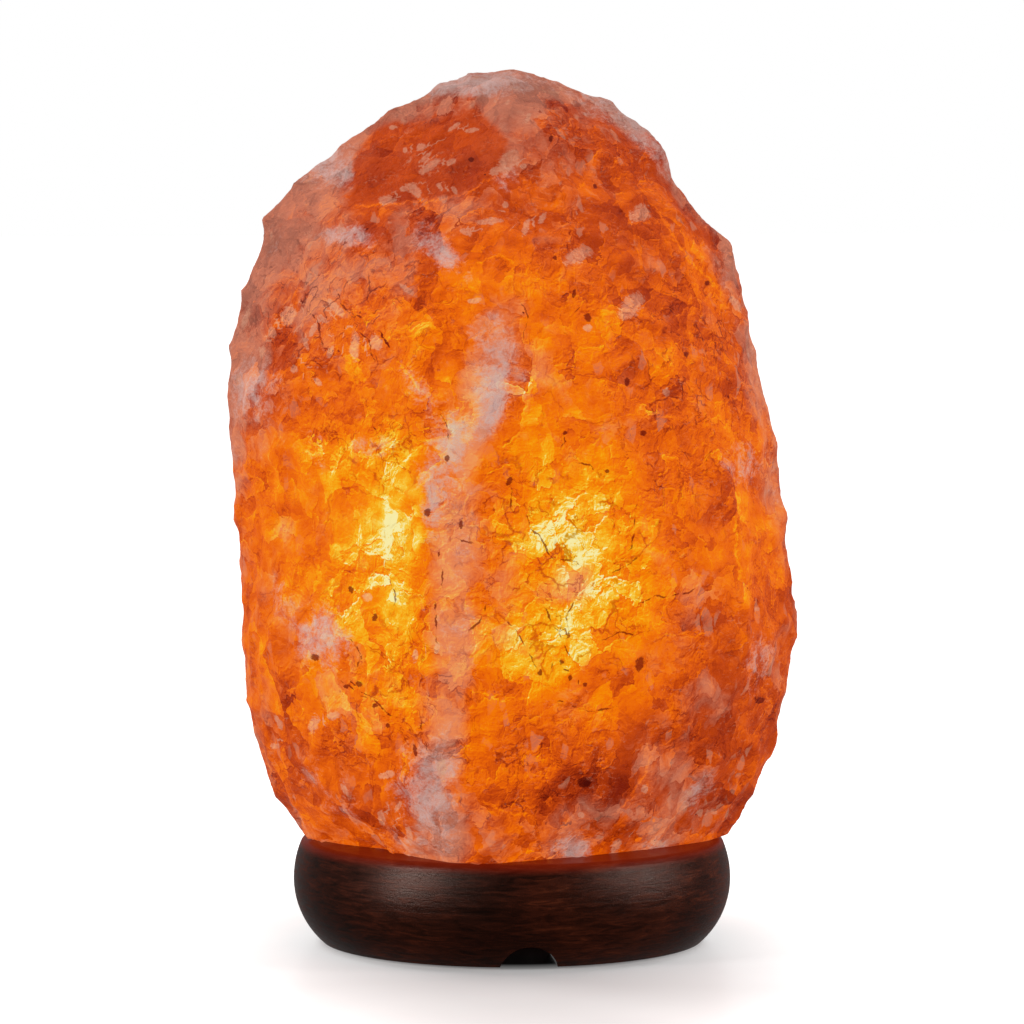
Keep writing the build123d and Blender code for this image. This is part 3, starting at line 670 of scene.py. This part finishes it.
def tone(red, green, blue):
    """A colour given as a screen shows it, 0 to 255, in linear light."""
    return tuple((c / 255.0 / 12.92) if c / 255.0 <= 0.04045 else ((c / 255.0 + 0.055) / 1.055)**2.4
                 for c in (red, green, blue))


BLACK = (0.0, 0.0, 0.0)
# the salt's tones from where little light comes through to the glare of the bulb
CLEAR_SALT = ((0.0, 150, 35, 4), (0.15, 185, 57, 7), (0.3, 211, 75, 9), (0.45, 238, 99, 4),
              (0.6, 251, 122, 0), (0.72, 255, 148, 0), (0.84, 255, 180, 22), (0.93, 255, 210, 70),
              (1.03, 255, 242, 170))
MILKY_SALT = ((0.0, 190, 122, 100), (0.3, 214, 136, 108), (0.6, 240, 146, 98), (0.85, 250, 176, 104),
              (1.0, 255, 226, 160))
FROSTED_SALT = ((0.0, 205, 168, 160), (0.4, 228, 192, 186), (0.7, 240, 202, 190), (1.0, 250, 222, 196))
CHIPPED_SALT = ((0.0, 206, 140, 112), (0.4, 232, 168, 136), (0.7, 250, 196, 140), (1.0, 255, 232, 180))
CRACK_STAIN = (0.24, 0.05, 0.02)  # what it leaves of each colour
BIG_FLAKE, MIDDLE_FLAKE, SMALL_FLAKE = 15 * MM, 6.5 * MM, 2.6 * MM
SLOPE_STEP = 0.35 * MM  # over which the relief's slope is felt, for its painted shading
FACET_GLOW = 0.24


class SaltNodes(Nodes):
    """The salt's nodes, with the noises, flakes and masks that its parts share."""

    def __init__(self):
        super().__init__("salt")
        self.place = self.where()
        (self.bent, self.ragged, self.fine, (self.middle, self.middle_lean),
         (self.small, self.small_lean), height) = self.relief(self.place)
        # painted shading of the fine relief, as lit from the painted light's way
        aside = self.vector("ADD", self.place, tuple(PAINTED_LIGHT_WAY * SLOPE_STEP))
        self.emboss = self.math("SUBTRACT", self.relief(aside)[-1], height)
        self.cloud = self.noise(20 * MM, 3, 0.55, 0.4, vector=self.bent)
        self.grain = self.noise(0.8 * MM, 3, 0.7, vector=self.place)
        drawn_out = self.warped(self.where(scale=(1, 1, 2.2), turn=(0, 0.7, 0)), 6 * MM, 4 * MM)
        self.scratch = self.noise(2.2 * MM, 6, 0.72, 1.2, vector=drawn_out)
        self.facet, self.crackle, self.edge = self.mask("facet"), self.mask("crackle"), self.mask("edge")
        self.off_facet = self.math("SUBTRACT", 1.0, self.facet)

    def relief(self, place):
        """Places bent in two steps, a fine unevenness, two sizes of flakes and the height they make up."""
        bent = self.warped(place, 11 * MM, 9 * MM)
        ragged = self.warped(bent, 2.6 * MM, 2.2 * MM)
        fine = self.noise(3.4 * MM, 6, 0.66, 0.5, vector=bent)
        middle, small = self.flakes(MIDDLE_FLAKE, ragged), self.flakes(SMALL_FLAKE, ragged)
        height = self.plus(fine, self.times(middle[0], 0.10), self.times(middle[1], 0.3),
                           self.times(small[0], 0.08), self.times(small[1], 0.14))
        return bent, ragged, fine, middle, small, height


def salt_glow(n):
    """How brightly the light inside shows through, with painted light and shade of the relief and painted
    shade along the outline, before creases and ledges.
    """
    big, big_lean = n.flakes(BIG_FLAKE, n.bent)
    calm = n.ease(n.noise(17 * MM, 2, 0.5, 0.3, vector=n.place), 0.42, 0.62, 0.25, 1.0)
    # painted light and shade of the fine relief: brighter where it falls away one way, darker where it rises
    emboss = n.times(n.span(n.emboss, -0.16, 0.16, 0.18, -0.18), n.most(calm, n.times(n.crackle, 1.1)))
    # the last two terms add painted shade in the relief's hollows, painted light on its raised parts and
    # painted light and shade on its slopes
    uneven = n.plus(n.span(big, 0, 1, -0.055, 0.055), n.times(big_lean, 0.34),
                    n.span(n.middle, 0, 1, -0.034, 0.034), n.times(n.middle_lean, 0.26),
                    n.span(n.small, 0, 1, -0.018, 0.018), n.times(n.small_lean, 0.10),
                    n.swing(n.fine, 0.044), n.swing(n.grain, 0.022), n.swing(n.scratch, 0.038), emboss,
                    n.times(n.mask("hollow_shade"), 0.035), n.times(n.mask("slope"), 0.36))
    uneven = n.times(uneven, n.span(n.mask("glow"), 0.3, 0.95, 0.8, 1.1))
    # the outline band dims the glow there: painted shade
    glow = n.plus(n.mask("glow"), uneven, n.times(n.mask("dark"), -0.15), n.times(n.edge, -0.10))
    return n.plus(n.times(glow, n.off_facet), n.times(n.facet, n.plus(FACET_GLOW, n.times(uneven, 0.6))))


def salt_creases(n):
    """Thin creases that break up and join again."""
    vein = n.math("ABSOLUTE", n.math("SUBTRACT", n.noise(9 * MM, 4, 0.6, 0.8, vector=n.ragged), 0.5))
    vein = n.times(n.span(vein, 0.004, 0.016, 1, 0), n.patches(6 * MM, n.place, 0.48, 0.60, "SMOOTHSTEP"))
    shard = n.times(n.span(n.edges(7 * MM, n.ragged), 0.01, 0.05, 1, 0),
                    n.patches(7 * MM, n.bent, 0.52, 0.62, "SMOOTHSTEP"))
    return n.times(n.most(vein, shard), n.crackle)


def salt_gleams(n, shake):
    """Bright rims of flakes, and the placed ledges."""
    gleam = n.times(n.span(n.edges(4.2 * MM, n.ragged), 0.02, 0.09, 1, 0),
                    n.patches(5 * MM, n.bent, 0.56, 0.66, "SMOOTHSTEP"))
    ledge = n.ease(n.math("ABSOLUTE", n.plus(n.mask("ledge"), shake)), 0.4, 2.2, 1, 0)
    ledge = n.times(ledge, n.mask("ledge_near"), n.span(n.grain, 0.35, 0.5))
    return n.plus(n.times(gleam, n.crackle, 0.12), n.times(ledge, 0.22))


def salt_veil(n):
    """How milky the salt is, with a painted pale sheen along the front's outline."""
    veil = n.plus(n.mask("milk"), n.times(n.edge, 0.6), n.swing(n.cloud, 0.35),
                  n.span(n.middle, 0, 1, -0.16, 0.16), n.swing(n.fine, 0.17))
    return n.times(n.ease(veil, 0.38, 1.08, 0.0, 0.74), n.math("SUBTRACT", 1.0, n.times(n.facet, 0.9)))


def salt_frost(n):
    """How much white frost lies on the surface, with a painted pale sheen along the front's outline."""
    frost = n.plus(n.times(n.mask("frost"), 0.85), n.times(n.edge, 0.34), n.swing(n.fine, 0.30),
                   n.swing(n.scratch, 0.18), n.swing(n.grain, 0.14), n.swing(n.cloud, 0.26),
                   n.times(n.facet, -0.5))
    return n.ease(frost, 0.38, 1.25, 0.0, 0.85)


def salt_chips(n, glow):
    """Small white chips and hairs, more of them where little light comes through, and the placed chips."""
    splinter = n.warped(n.where(scale=(1.5, 1.2, 0.8), turn=(0, 0.5, 0)), 5 * MM, 3 * MM)
    chips = n.times(n.span(n.edges(3.8 * MM, splinter), 0.08, 0.14),
                    n.span(n.flakes(3.8 * MM, splinter)[0], 0.84, 0.86),
                    n.patches(9 * MM, n.bent, 0.46, 0.56), n.span(glow, 0.2, 0.6, 1.0, 0.1), n.off_facet)
    hairs = n.times(n.span(n.scratch, 0.56, 0.61), n.patches(7 * MM, n.bent, 0.48, 0.58),
                    n.span(glow, 0.2, 0.62, 1.0, 0.12))
    placed_chips = n.times(n.spot("chip", n.fine, n.scratch), n.span(n.grain, 0.3, 0.6, 0.5, 1.0))
    return n.most(n.times(chips, 0.42), n.times(hairs, 0.3), n.times(placed_chips, 0.6))


def salt_stains(n, shake):
    """The placed cracks and specks, and scattered specks."""
    width = n.span(n.noise(2.5 * MM, 2, 0.5, vector=n.place), 0.35, 0.65, -1.0, 0.7)
    away = n.math("ABSOLUTE", n.plus(n.mask("crack"), n.times(shake, 0.6)))
    crack = n.ease(n.math("SUBTRACT", away, width), 0.0, 0.9, 1, 0)
    cells = n.cells(8 * MM, n.bent)
    scattered = n.times(n.span(cells.outputs["Distance"], 0.03, 0.06, 1, 0),
                        n.span(n.chance(cells, 1), 0.88, 0.9))
    return n.most(n.times(crack, n.mask("crack_near")), n.times(n.spot("speck", n.scratch, n.fine), 0.85),
                  scattered)


def salt_material():
    n = SaltNodes()
    shake = n.swing(n.noise(3.0 * MM, 4, 0.65, vector=n.place), 3.0)
    crease = salt_creases(n)
    glow = n.plus(salt_glow(n), n.times(crease, -0.2), salt_gleams(n, shake))
    frost = salt_frost(n)
    look = n.mix(salt_veil(n), n.ramp(glow, *CLEAR_SALT), n.ramp(glow, *MILKY_SALT))
    look = n.mix(frost, look, n.ramp(glow, *FROSTED_SALT))
    look = n.mix(salt_chips(n, glow), look, n.ramp(glow, *CHIPPED_SALT))
    look = n.mix(n.most(salt_stains(n, shake), n.times(crease, 0.5)), look, CRACK_STAIN, "MULTIPLY")
    # the less light comes through, the more the room's light shows
    lit = n.times(n.span(glow, 0.05, 0.5, 0.55, 1.0), n.span(frost, 0.0, 0.85, 1.0, 0.6))
    height = n.plus(n.fine, n.times(n.grain, 0.4), n.times(n.middle_lean, 0.7), n.times(n.small_lean, 0.4))
    n.set(Base_Color=n.mix(n.span(lit, 0.4, 1.0, 0.5, 0.96), look, BLACK), Emission_Color=look,
          Emission_Strength=n.times(lit, 0.9), Roughness=n.span(n.fine, 0.3, 0.7, 0.34, 0.6),
          Specular_IOR_Level=0.06, Normal=n.bump(height, 0.9 * MM, 0.9))
    return n.material


WOOD_TONES = ((0.46, 22, 7, 3), (0.60, 44, 15, 6), (0.72, 68, 26, 12), (0.84, 98, 43, 21))
# where the cable's groove is painted near black as shade: its side, back, roof and mouth, each from full to
# none
GROOVE_SIDE = (7.2 * MM, 7.8 * MM)
GROOVE_BACK = (-2.0 * MM, 0.0)
GROOVE_ROOF = (6.2 * MM, 7.0 * MM)
GROOVE_MOUTH = (43.0 * MM, 48.0 * MM)
PAINTED_GLOW_HEIGHTS = (22.8 * MM, 25.5 * MM)  # of the base's top, where the crystal's glow on it is painted as a dim red glow of the wood


def wood_material():
    n = Nodes("dark_wood")
    streak = n.noise(7 * MM, 7, 0.62, 0.9, vector=n.where(scale=(1, 1, 7)))
    pores = n.noise(1.6 * MM, 4, 0.7, vector=n.where(scale=(1, 1, 14)))
    blotch = n.noise(38 * MM, 3, 0.5, 0.4)
    shade = n.plus(n.times(streak, 0.65), n.times(blotch, 0.45), n.times(pores, 0.15))
    place = n.where()
    parts = n.add("ShaderNodeSeparateXYZ")
    n.put(parts.inputs[0], place)
    x, y, z = parts.outputs
    inner = n.length(n.vector("MULTIPLY", place, (1, 1, 0)))
    # painted shade: the inside of the cable's groove is darkened near black
    groove_shade = n.times(n.span(n.math("ABSOLUTE", x), *GROOVE_SIDE, 1, 0), n.span(y, *GROOVE_BACK, 1, 0),
                     n.span(z, *GROOVE_ROOF, 1, 0), n.span(inner, *GROOVE_MOUTH, 1, 0))
    n.set(Base_Color=n.mix(groove_shade, n.ramp(shade, *WOOD_TONES), tone(8, 3, 2)),
          Roughness=n.span(streak, 0.3, 0.7, 0.28, 0.42), Specular_IOR_Level=0.03,
          # painted light: the base's top glows dim red, for the crystal's glow that falls on it
          Emission_Color=tone(150, 34, 8),
          Emission_Strength=n.times(n.ease(z, *PAINTED_GLOW_HEIGHTS), 0.4),
          Normal=n.bump(n.plus(streak, n.times(pores, 0.6)), 0.22 * MM, 0.4))
    return n.material


def metal_material(name, light, dark, rough, brushed=(1, 1, 8), stain=0.0):
    """A metal with fine brush lines and a faint stain."""
    n = Nodes(name)
    lines = n.noise(1.2 * MM, 5, 0.7, vector=n.where(scale=brushed))
    cloud = n.noise(6 * MM, 3, 0.6)
    shade = n.plus(n.times(lines, 0.6), n.times(cloud, 0.4))
    n.set(Base_Color=n.ramp(shade, (0.35, *dark), (0.62, *light)), Metallic=1.0,
          Roughness=n.span(shade, 0.3, 0.7, rough - 0.08, rough + 0.12 + stain),
          Normal=n.bump(lines, 0.03 * MM, 0.5))
    return n.material


def mottled_material(name, light, dark, rough, size=2 * MM, rise=0.05 * MM, **extra):
    """A dull body colour with fine mottling."""
    n = Nodes(name)
    cloud = n.noise(size * 5, 3, 0.6)
    fine = n.noise(size, 4, 0.65)
    shade = n.plus(n.times(cloud, 0.5), n.times(fine, 0.5))
    n.set(Base_Color=n.ramp(shade, (0.35, *dark), (0.65, *light)), Normal=n.bump(fine, rise, 0.5),
          Roughness=n.span(fine, 0.3, 0.7, rough - 0.06, rough + 0.08), **extra)
    return n.material


def glass_material():
    n = Nodes("bulb_glass")
    film = n.noise(9 * MM, 4, 0.6, 0.5)
    n.set(Base_Color=n.ramp(film, (0.3, 246, 248, 250), (0.7, 255, 254, 250)),
          Roughness=n.span(film, 0.3, 0.7, 0.01, 0.06), Transmission_Weight=1.0, IOR=1.46,
          Normal=n.bump(film, 0.04 * MM, 0.2))
    return n.material


def glowing_material():
    n = Nodes("tungsten")
    heat = n.noise(1.5 * MM, 3, 0.6)
    n.set(Base_Color=n.ramp(heat, (0.3, 90, 80, 70), (0.7, 150, 130, 100)), Metallic=1.0,
          Roughness=n.span(heat, 0.3, 0.7, 0.4, 0.6),
          Emission_Color=n.ramp(heat, (0.3, 255, 196, 110), (0.7, 255, 232, 170)),
          Emission_Strength=9.0)
    return n.material


wood = wood_material()
steel = metal_material("steel", (196, 198, 202), (150, 150, 154), 0.34)
spring = metal_material("spring_steel", (186, 189, 196), (138, 141, 150), 0.3, (8, 8, 1))
brass = metal_material("brass", (226, 190, 112), (176, 132, 62), 0.3)
nickel = metal_material("bulb_cap", (214, 210, 200), (168, 164, 156), 0.28)
solder = metal_material("solder", (178, 178, 182), (120, 120, 126), 0.45, (1, 1, 1), 0.1)
rubber = mottled_material("foot_rubber", (44, 43, 42), (24, 24, 24), 0.8, 1.2 * MM, Specular_IOR_Level=0.3)
plastic = mottled_material("holder_plastic", (40, 39, 39), (22, 22, 23), 0.38, 1.5 * MM, 0.03 * MM)
ceramic = mottled_material("carrier_ceramic", (236, 232, 222), (206, 200, 188), 0.6, 1.0 * MM)
black_glass = mottled_material("cap_glass", (26, 25, 30), (12, 12, 16), 0.14, 2 * MM, 0.02 * MM)
cement = mottled_material("cement", (188, 168, 138), (146, 124, 96), 0.85, 0.8 * MM, 0.15 * MM)
clear_glass = glass_material()
tungsten = glowing_material()

NODE_MATERIALS = {
    "wooden_base": wood, "base_screws": steel, "foot_pads": rubber, "holder_cap": plastic,
    "holder_skirt": plastic, "contact_carrier": ceramic, "centre_contact": brass,
    "terminal_blocks": brass, "terminal_screws": steel, "clip_band": spring, "clip_arm_right": spring,
    "clip_arm_left": spring, "bulb_tip_contact": solder, "cap_insulator": black_glass,
    "cap_cement": cement, "bulb_glass": clear_glass, "glass_stem": clear_glass, "lead_wires": steel,
    "screw_shell": brass, "bulb_cap": nickel, "filament": tungsten,
}
for node, material in NODE_MATERIALS.items():
    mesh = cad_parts[node].data
    mesh.materials.clear()
    mesh.materials.append(material)


crystal.data.materials.append(salt_material())
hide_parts("salt_crystal")
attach(crystal, "lamp")


# ---------------- pieces too fine for the solid parts
def stand_for(piece, node, body, material):
    """Puts a finer piece in the place of a CAD node, riding the same body."""
    piece.data.materials.append(material)
    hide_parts(node)
    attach(piece, body)


def ring_faces(count, around, closed):
    """The faces between rings of points, the last ring being joined to the first one if closed."""
    faces = []
    for i in range(count if closed else count - 1):
        near, far = i * around, (i + 1) % count * around
        faces += [(near + k, far + k, far + (k + 1) % around, near + (k + 1) % around) for k in range(around)]
    return faces


def lathe(name, profile, thread=None, around=96):
    """A closed turned piece from its (radius, height) outline in millimetres. thread gives the pitch, the
    height of its waves and the heights it runs between; radii within it follow a right-handed helix."""
    turns = np.linspace(0, 2 * np.pi, around, endpoint=False)
    rings = []
    for r, z in profile:
        wave = np.zeros(around)
        if thread:
            pitch, rise, low, high = thread
            fade = smoothstep(low, low + pitch / 2, z) * (1 - smoothstep(high - pitch / 2, high, z))
            wave = fade * rise * np.cos(2 * np.pi * (z / pitch) - turns)
        wave += r
        rings.append(np.stack((wave * np.cos(turns), wave * np.sin(turns), np.full(around, z)), 1))
    return built(name, np.concatenate(rings), ring_faces(len(profile), around, True))


def tube(name, path, radius, sides=6):
    """A closed tube of the given radius along a path in millimetres."""
    ways = np.gradient(path, axis=0)
    ways /= np.linalg.norm(ways, axis=1)[:, None]
    aside = np.cross(ways, (0.0, 0.0, 1.0))
    aside /= np.maximum(np.linalg.norm(aside, axis=1)[:, None], 1e-9)
    upward = np.cross(aside, ways)
    turns = np.linspace(0, 2 * np.pi, sides, endpoint=False)
    rings = [path + radius * (np.cos(t) * aside + np.sin(t) * upward) for t in turns]
    vertices = np.stack(rings, axis=1).reshape(-1, 3)
    ends = [tuple(reversed(range(sides))), tuple(range(len(vertices) - sides, len(vertices)))]
    return built(name, vertices, ring_faces(len(path), sides, False) + ends)


def cut_into(node, name, blocks):
    """A copy of a CAD node with boxes cut out, each given by its middle, its sizes and its turn about Z."""
    work = work_copy(node, name)
    cutters = []
    for middle, sizes, turn in blocks:
        bpy.ops.mesh.primitive_cube_add(size=1.0, location=[c * MM for c in middle], rotation=(0, 0, turn))
        cutter = bpy.context.object
        cutter.scale = [s * MM for s in sizes]
        cutters.append(cutter)
        cut = work.modifiers.new("cut", "BOOLEAN")
        cut.operation = "DIFFERENCE"
        cut.solver = "EXACT"
        cut.object = cutter
    piece = applied(work, name)
    for cutter in cutters:
        bpy.data.objects.remove(cutter)
    return piece


def box_mm(node):
    """The lower and upper corners of a CAD node's box in millimetres."""
    low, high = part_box(node)
    return [c / MM for c in low], [c / MM for c in high]


def heights(low, high, step=0.25):
    """Even heights in millimetres, close enough together to carry a thread."""
    return np.linspace(low, high, int((high - low) / step) + 2)


THREAD_PITCH, THREAD_RISE = 2.822, 0.28
CAP_RADIUS, CAP_WALL, CAP_FLARE, CAP_FLARE_HEIGHT = 6.7, 0.35, 0.7, 2.0
CAP_BARE_FOOT, CAP_BARE_NECK = 0.6, 1.5  # of the cap, below and above its thread
SHELL_BORE_RADIUS, SHELL_WALL, SHELL_RIM, SHELL_HOLE_RADIUS = 7.2, 0.35, 0.5, 4.8
SHELL_BARE_FOOT, SHELL_BARE_NECK = 2.0, 1.6

low, high = box_mm("bulb_cap")
flare_foot = high[2] - CAP_FLARE_HEIGHT
outer = [(CAP_RADIUS, z) for z in heights(low[2], flare_foot)]
outer += [(CAP_RADIUS + CAP_FLARE * t, flare_foot + CAP_FLARE_HEIGHT * t) for t in (0.25, 0.5, 0.75, 1.0)]
threaded_cap = lathe("threaded_cap", outer + [(r - CAP_WALL, z) for r, z in reversed(outer)],
                     (THREAD_PITCH, THREAD_RISE, low[2] + CAP_BARE_FOOT, flare_foot - CAP_BARE_NECK))
stand_for(threaded_cap, "bulb_cap", "bulb", nickel)

low, high = box_mm("screw_shell")
wall = [(SHELL_BORE_RADIUS + SHELL_WALL, z) for z in heights(low[2], high[2] - SHELL_WALL)]
lining = [(SHELL_BORE_RADIUS, z) for z in heights(low[2] + SHELL_WALL, high[2])]
rim = SHELL_BORE_RADIUS + SHELL_WALL + SHELL_RIM
profile = [(SHELL_HOLE_RADIUS, low[2])] + wall + [(rim, high[2] - SHELL_WALL), (rim, high[2])]
threaded_shell = lathe("threaded_shell", profile + lining[::-1] + [(SHELL_HOLE_RADIUS, low[2] + SHELL_WALL)],
                       (THREAD_PITCH, THREAD_RISE, low[2] + SHELL_BARE_FOOT, high[2] - SHELL_BARE_NECK))
stand_for(threaded_shell, "screw_shell", "lamp_holder", brass)

# coiled filament along the bow between its two leads
COIL_TURNS, COIL_RADIUS, COIL_WIRE = 44, 0.3, 0.09
COIL_LIFT = 0.5  # of the bow's middle above its ends
low, high = box_mm("filament")
t = np.linspace(-1, 1, COIL_TURNS * 12 + 1)
bow = (-low[1] - COIL_WIRE - COIL_RADIUS) * (1 - t**2)
turn = np.pi * COIL_TURNS * t
rise = (low[2] + high[2]) / 2 + COIL_LIFT * (0.5 - t**2)
coil_path = np.stack((t * (high[0] - COIL_RADIUS), COIL_RADIUS * np.cos(turn) - bow,
                      COIL_RADIUS * np.sin(turn) + rise), 1)
stand_for(tube("coil", coil_path, COIL_WIRE), "filament", "bulb", tungsten)

# cross recesses in the base's screws
SCREW_CIRCLE_RADIUS, SCREW_FIRST, SCREW_COUNT = 30.5, math.radians(90.0), 3
SCREW_STOP_TURN = 0.4  # radians from each screw's cross to the next, beyond its place
CROSS_LONG, CROSS_WIDE, CROSS_TALL, CROSS_LIFT = 4.4, 0.9, 2.4, 0.5
head = box_mm("base_screws")[0][2]
recesses = []
for i in range(SCREW_COUNT):
    turn = SCREW_FIRST + i * math.tau / SCREW_COUNT
    middle = (SCREW_CIRCLE_RADIUS * math.cos(turn), SCREW_CIRCLE_RADIUS * math.sin(turn), head + CROSS_LIFT)
    recesses += [(middle, (*arm, CROSS_TALL), turn + SCREW_STOP_TURN * i)
                 for arm in ((CROSS_LONG, CROSS_WIDE), (CROSS_WIDE, CROSS_LONG))]
stand_for(cut_into("base_screws", "cross_screws", recesses), "base_screws", "lamp", steel)

# slots in the terminals' screws
TERMINAL_PLACES = (-5.6, 6.2)  # left and right of the middle
SLOT_SIZES = (0.7, 1.2, 5.0)  # its width, twice its depth and more than the head's height
low, high = box_mm("terminal_screws")
slots = [((x, low[1], (low[2] + high[2]) / 2), SLOT_SIZES, 0.0) for x in TERMINAL_PLACES]
stand_for(cut_into("terminal_screws", "slot_screws", slots), "terminal_screws", "lamp_holder", steel)


# ---------------- floor, lights
SHADE_MIDDLE = (0.0, -0.03, 0.0)  # of the soft shade on the floor round the lamp
SHADE_HALF = (0.112, 0.26, 1.0)  # its reach across and along
UNDER_LAMP = (38 * MM, 47 * MM)  # how far from the middle the floor under the base is painted black as shadow, giving no light, and is pale
FLOOR_COLOURS = (0.62, 0.61, 0.61), (0.66, 0.65, 0.65)


def floor_material():
    n = Nodes("floor")
    place = n.where()
    away = n.vector("DIVIDE", n.vector("SUBTRACT", place, SHADE_MIDDLE), SHADE_HALF)
    away = n.plus(n.length(away), n.swing(n.noise(0.05, 2, vector=place), 0.02))
    # painted shadow: the floor under the base is black and gives no light
    beside = n.span(n.length(place), *UNDER_LAMP)
    pale = n.mix(n.span(n.noise(0.4, 2, vector=place), 0.3, 0.7), *FLOOR_COLOURS)
    n.set(Base_Color=n.mix(beside, BLACK, pale), Roughness=0.32, Specular_IOR_Level=0.3,
          Emission_Color=(1.0, 0.985, 0.98),
          Emission_Strength=n.times(n.ease(away, 0.1, 1.0, 0.22, 1.0), beside))
    # from below the floor is clear, so that the lamp's underside can be seen
    see_through = n.add("ShaderNodeMixShader")
    n.put(see_through.inputs[0], n.add("ShaderNodeNewGeometry").outputs["Backfacing"])
    n.put(see_through.inputs[1], n.shader.outputs[0])
    n.put(see_through.inputs[2], n.add("ShaderNodeBsdfTransparent").outputs[0])
    n.put(n.output.inputs["Surface"], see_through.outputs[0])
    return n.material


bpy.ops.mesh.primitive_plane_add(size=8.0)
floor = bpy.context.object
floor.name = "floor"
floor.data.materials.append(floor_material())
# it casts nothing back, so the sky lights what stands on it from below too
floor.visible_diffuse = False
floor.visible_glossy = False

# a white sky behind the lamp, which lights it only faintly
WHITE = (1, 1, 1, 1)
SKY_LIGHT = 0.35
world = bpy.data.worlds.new("studio")
world.use_nodes = True
sky = world.node_tree
backdrop = sky.nodes["Background"]
backdrop.inputs[0].default_value = WHITE
fill = sky.nodes.new("ShaderNodeBackground")
fill.inputs[0].default_value = WHITE
fill.inputs[1].default_value = SKY_LIGHT
seen = sky.nodes.new("ShaderNodeLightPath")
either = sky.nodes.new("ShaderNodeMixShader")
sky.links.new(seen.outputs["Is Camera Ray"], either.inputs[0])
sky.links.new(fill.outputs[0], either.inputs[1])
sky.links.new(backdrop.outputs[0], either.inputs[2])
sky.links.new(either.outputs[0], sky.nodes["World Output"].inputs[0])
bpy.context.scene.world = world
bpy.context.scene.view_settings.view_transform = "Standard"


SHEEN_COLOUR = (1.0, 0.70, 0.60)


def soft_light(name, place, aim_height, size, power):
    """A rectangular light aimed at a height on the lamp's axis."""
    data = bpy.data.lights.new(name, "AREA")
    data.shape = "RECTANGLE"
    data.size, data.size_y = size
    data.energy = power
    light = bpy.data.objects.new(name, data)
    light.location = place
    light.rotation_euler = (Vector((0, 0, aim_height)) - Vector(place)).to_track_quat("-Z", "Y").to_euler()
    bpy.context.scene.collection.objects.link(light)
    return light


def sheen_light(name, place, power):
    """A warm light that only makes a highlight, and only on the wooden base."""
    light = soft_light(name, place, 0.03, (0.3, 0.3), power)
    light.data.color = SHEEN_COLOUR
    light.visible_diffuse = False
    light.light_linking.receiver_collection = bpy.data.collections.new(name + "_on")
    light.light_linking.receiver_collection.objects.link(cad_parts["wooden_base"])


soft_light("left", (-0.98, -0.42, 0.36), 0.03, (0.22, 0.4), 5.0)
soft_light("right", (1.03, -0.27, 0.34), 0.03, (0.22, 0.4), 3.6)
soft_light("high_left", (-0.66, 0.32, 1.08), 0.05, (0.4, 0.4), 5.0)
soft_light("high_right", (0.74, 0.25, 1.05), 0.05, (0.4, 0.4), 4.0)
sheen_light("sheen_left", (-0.92, -0.54, 0.38), 70.0)
sheen_light("sheen_right", (0.98, -0.40, 0.36), 42.0)
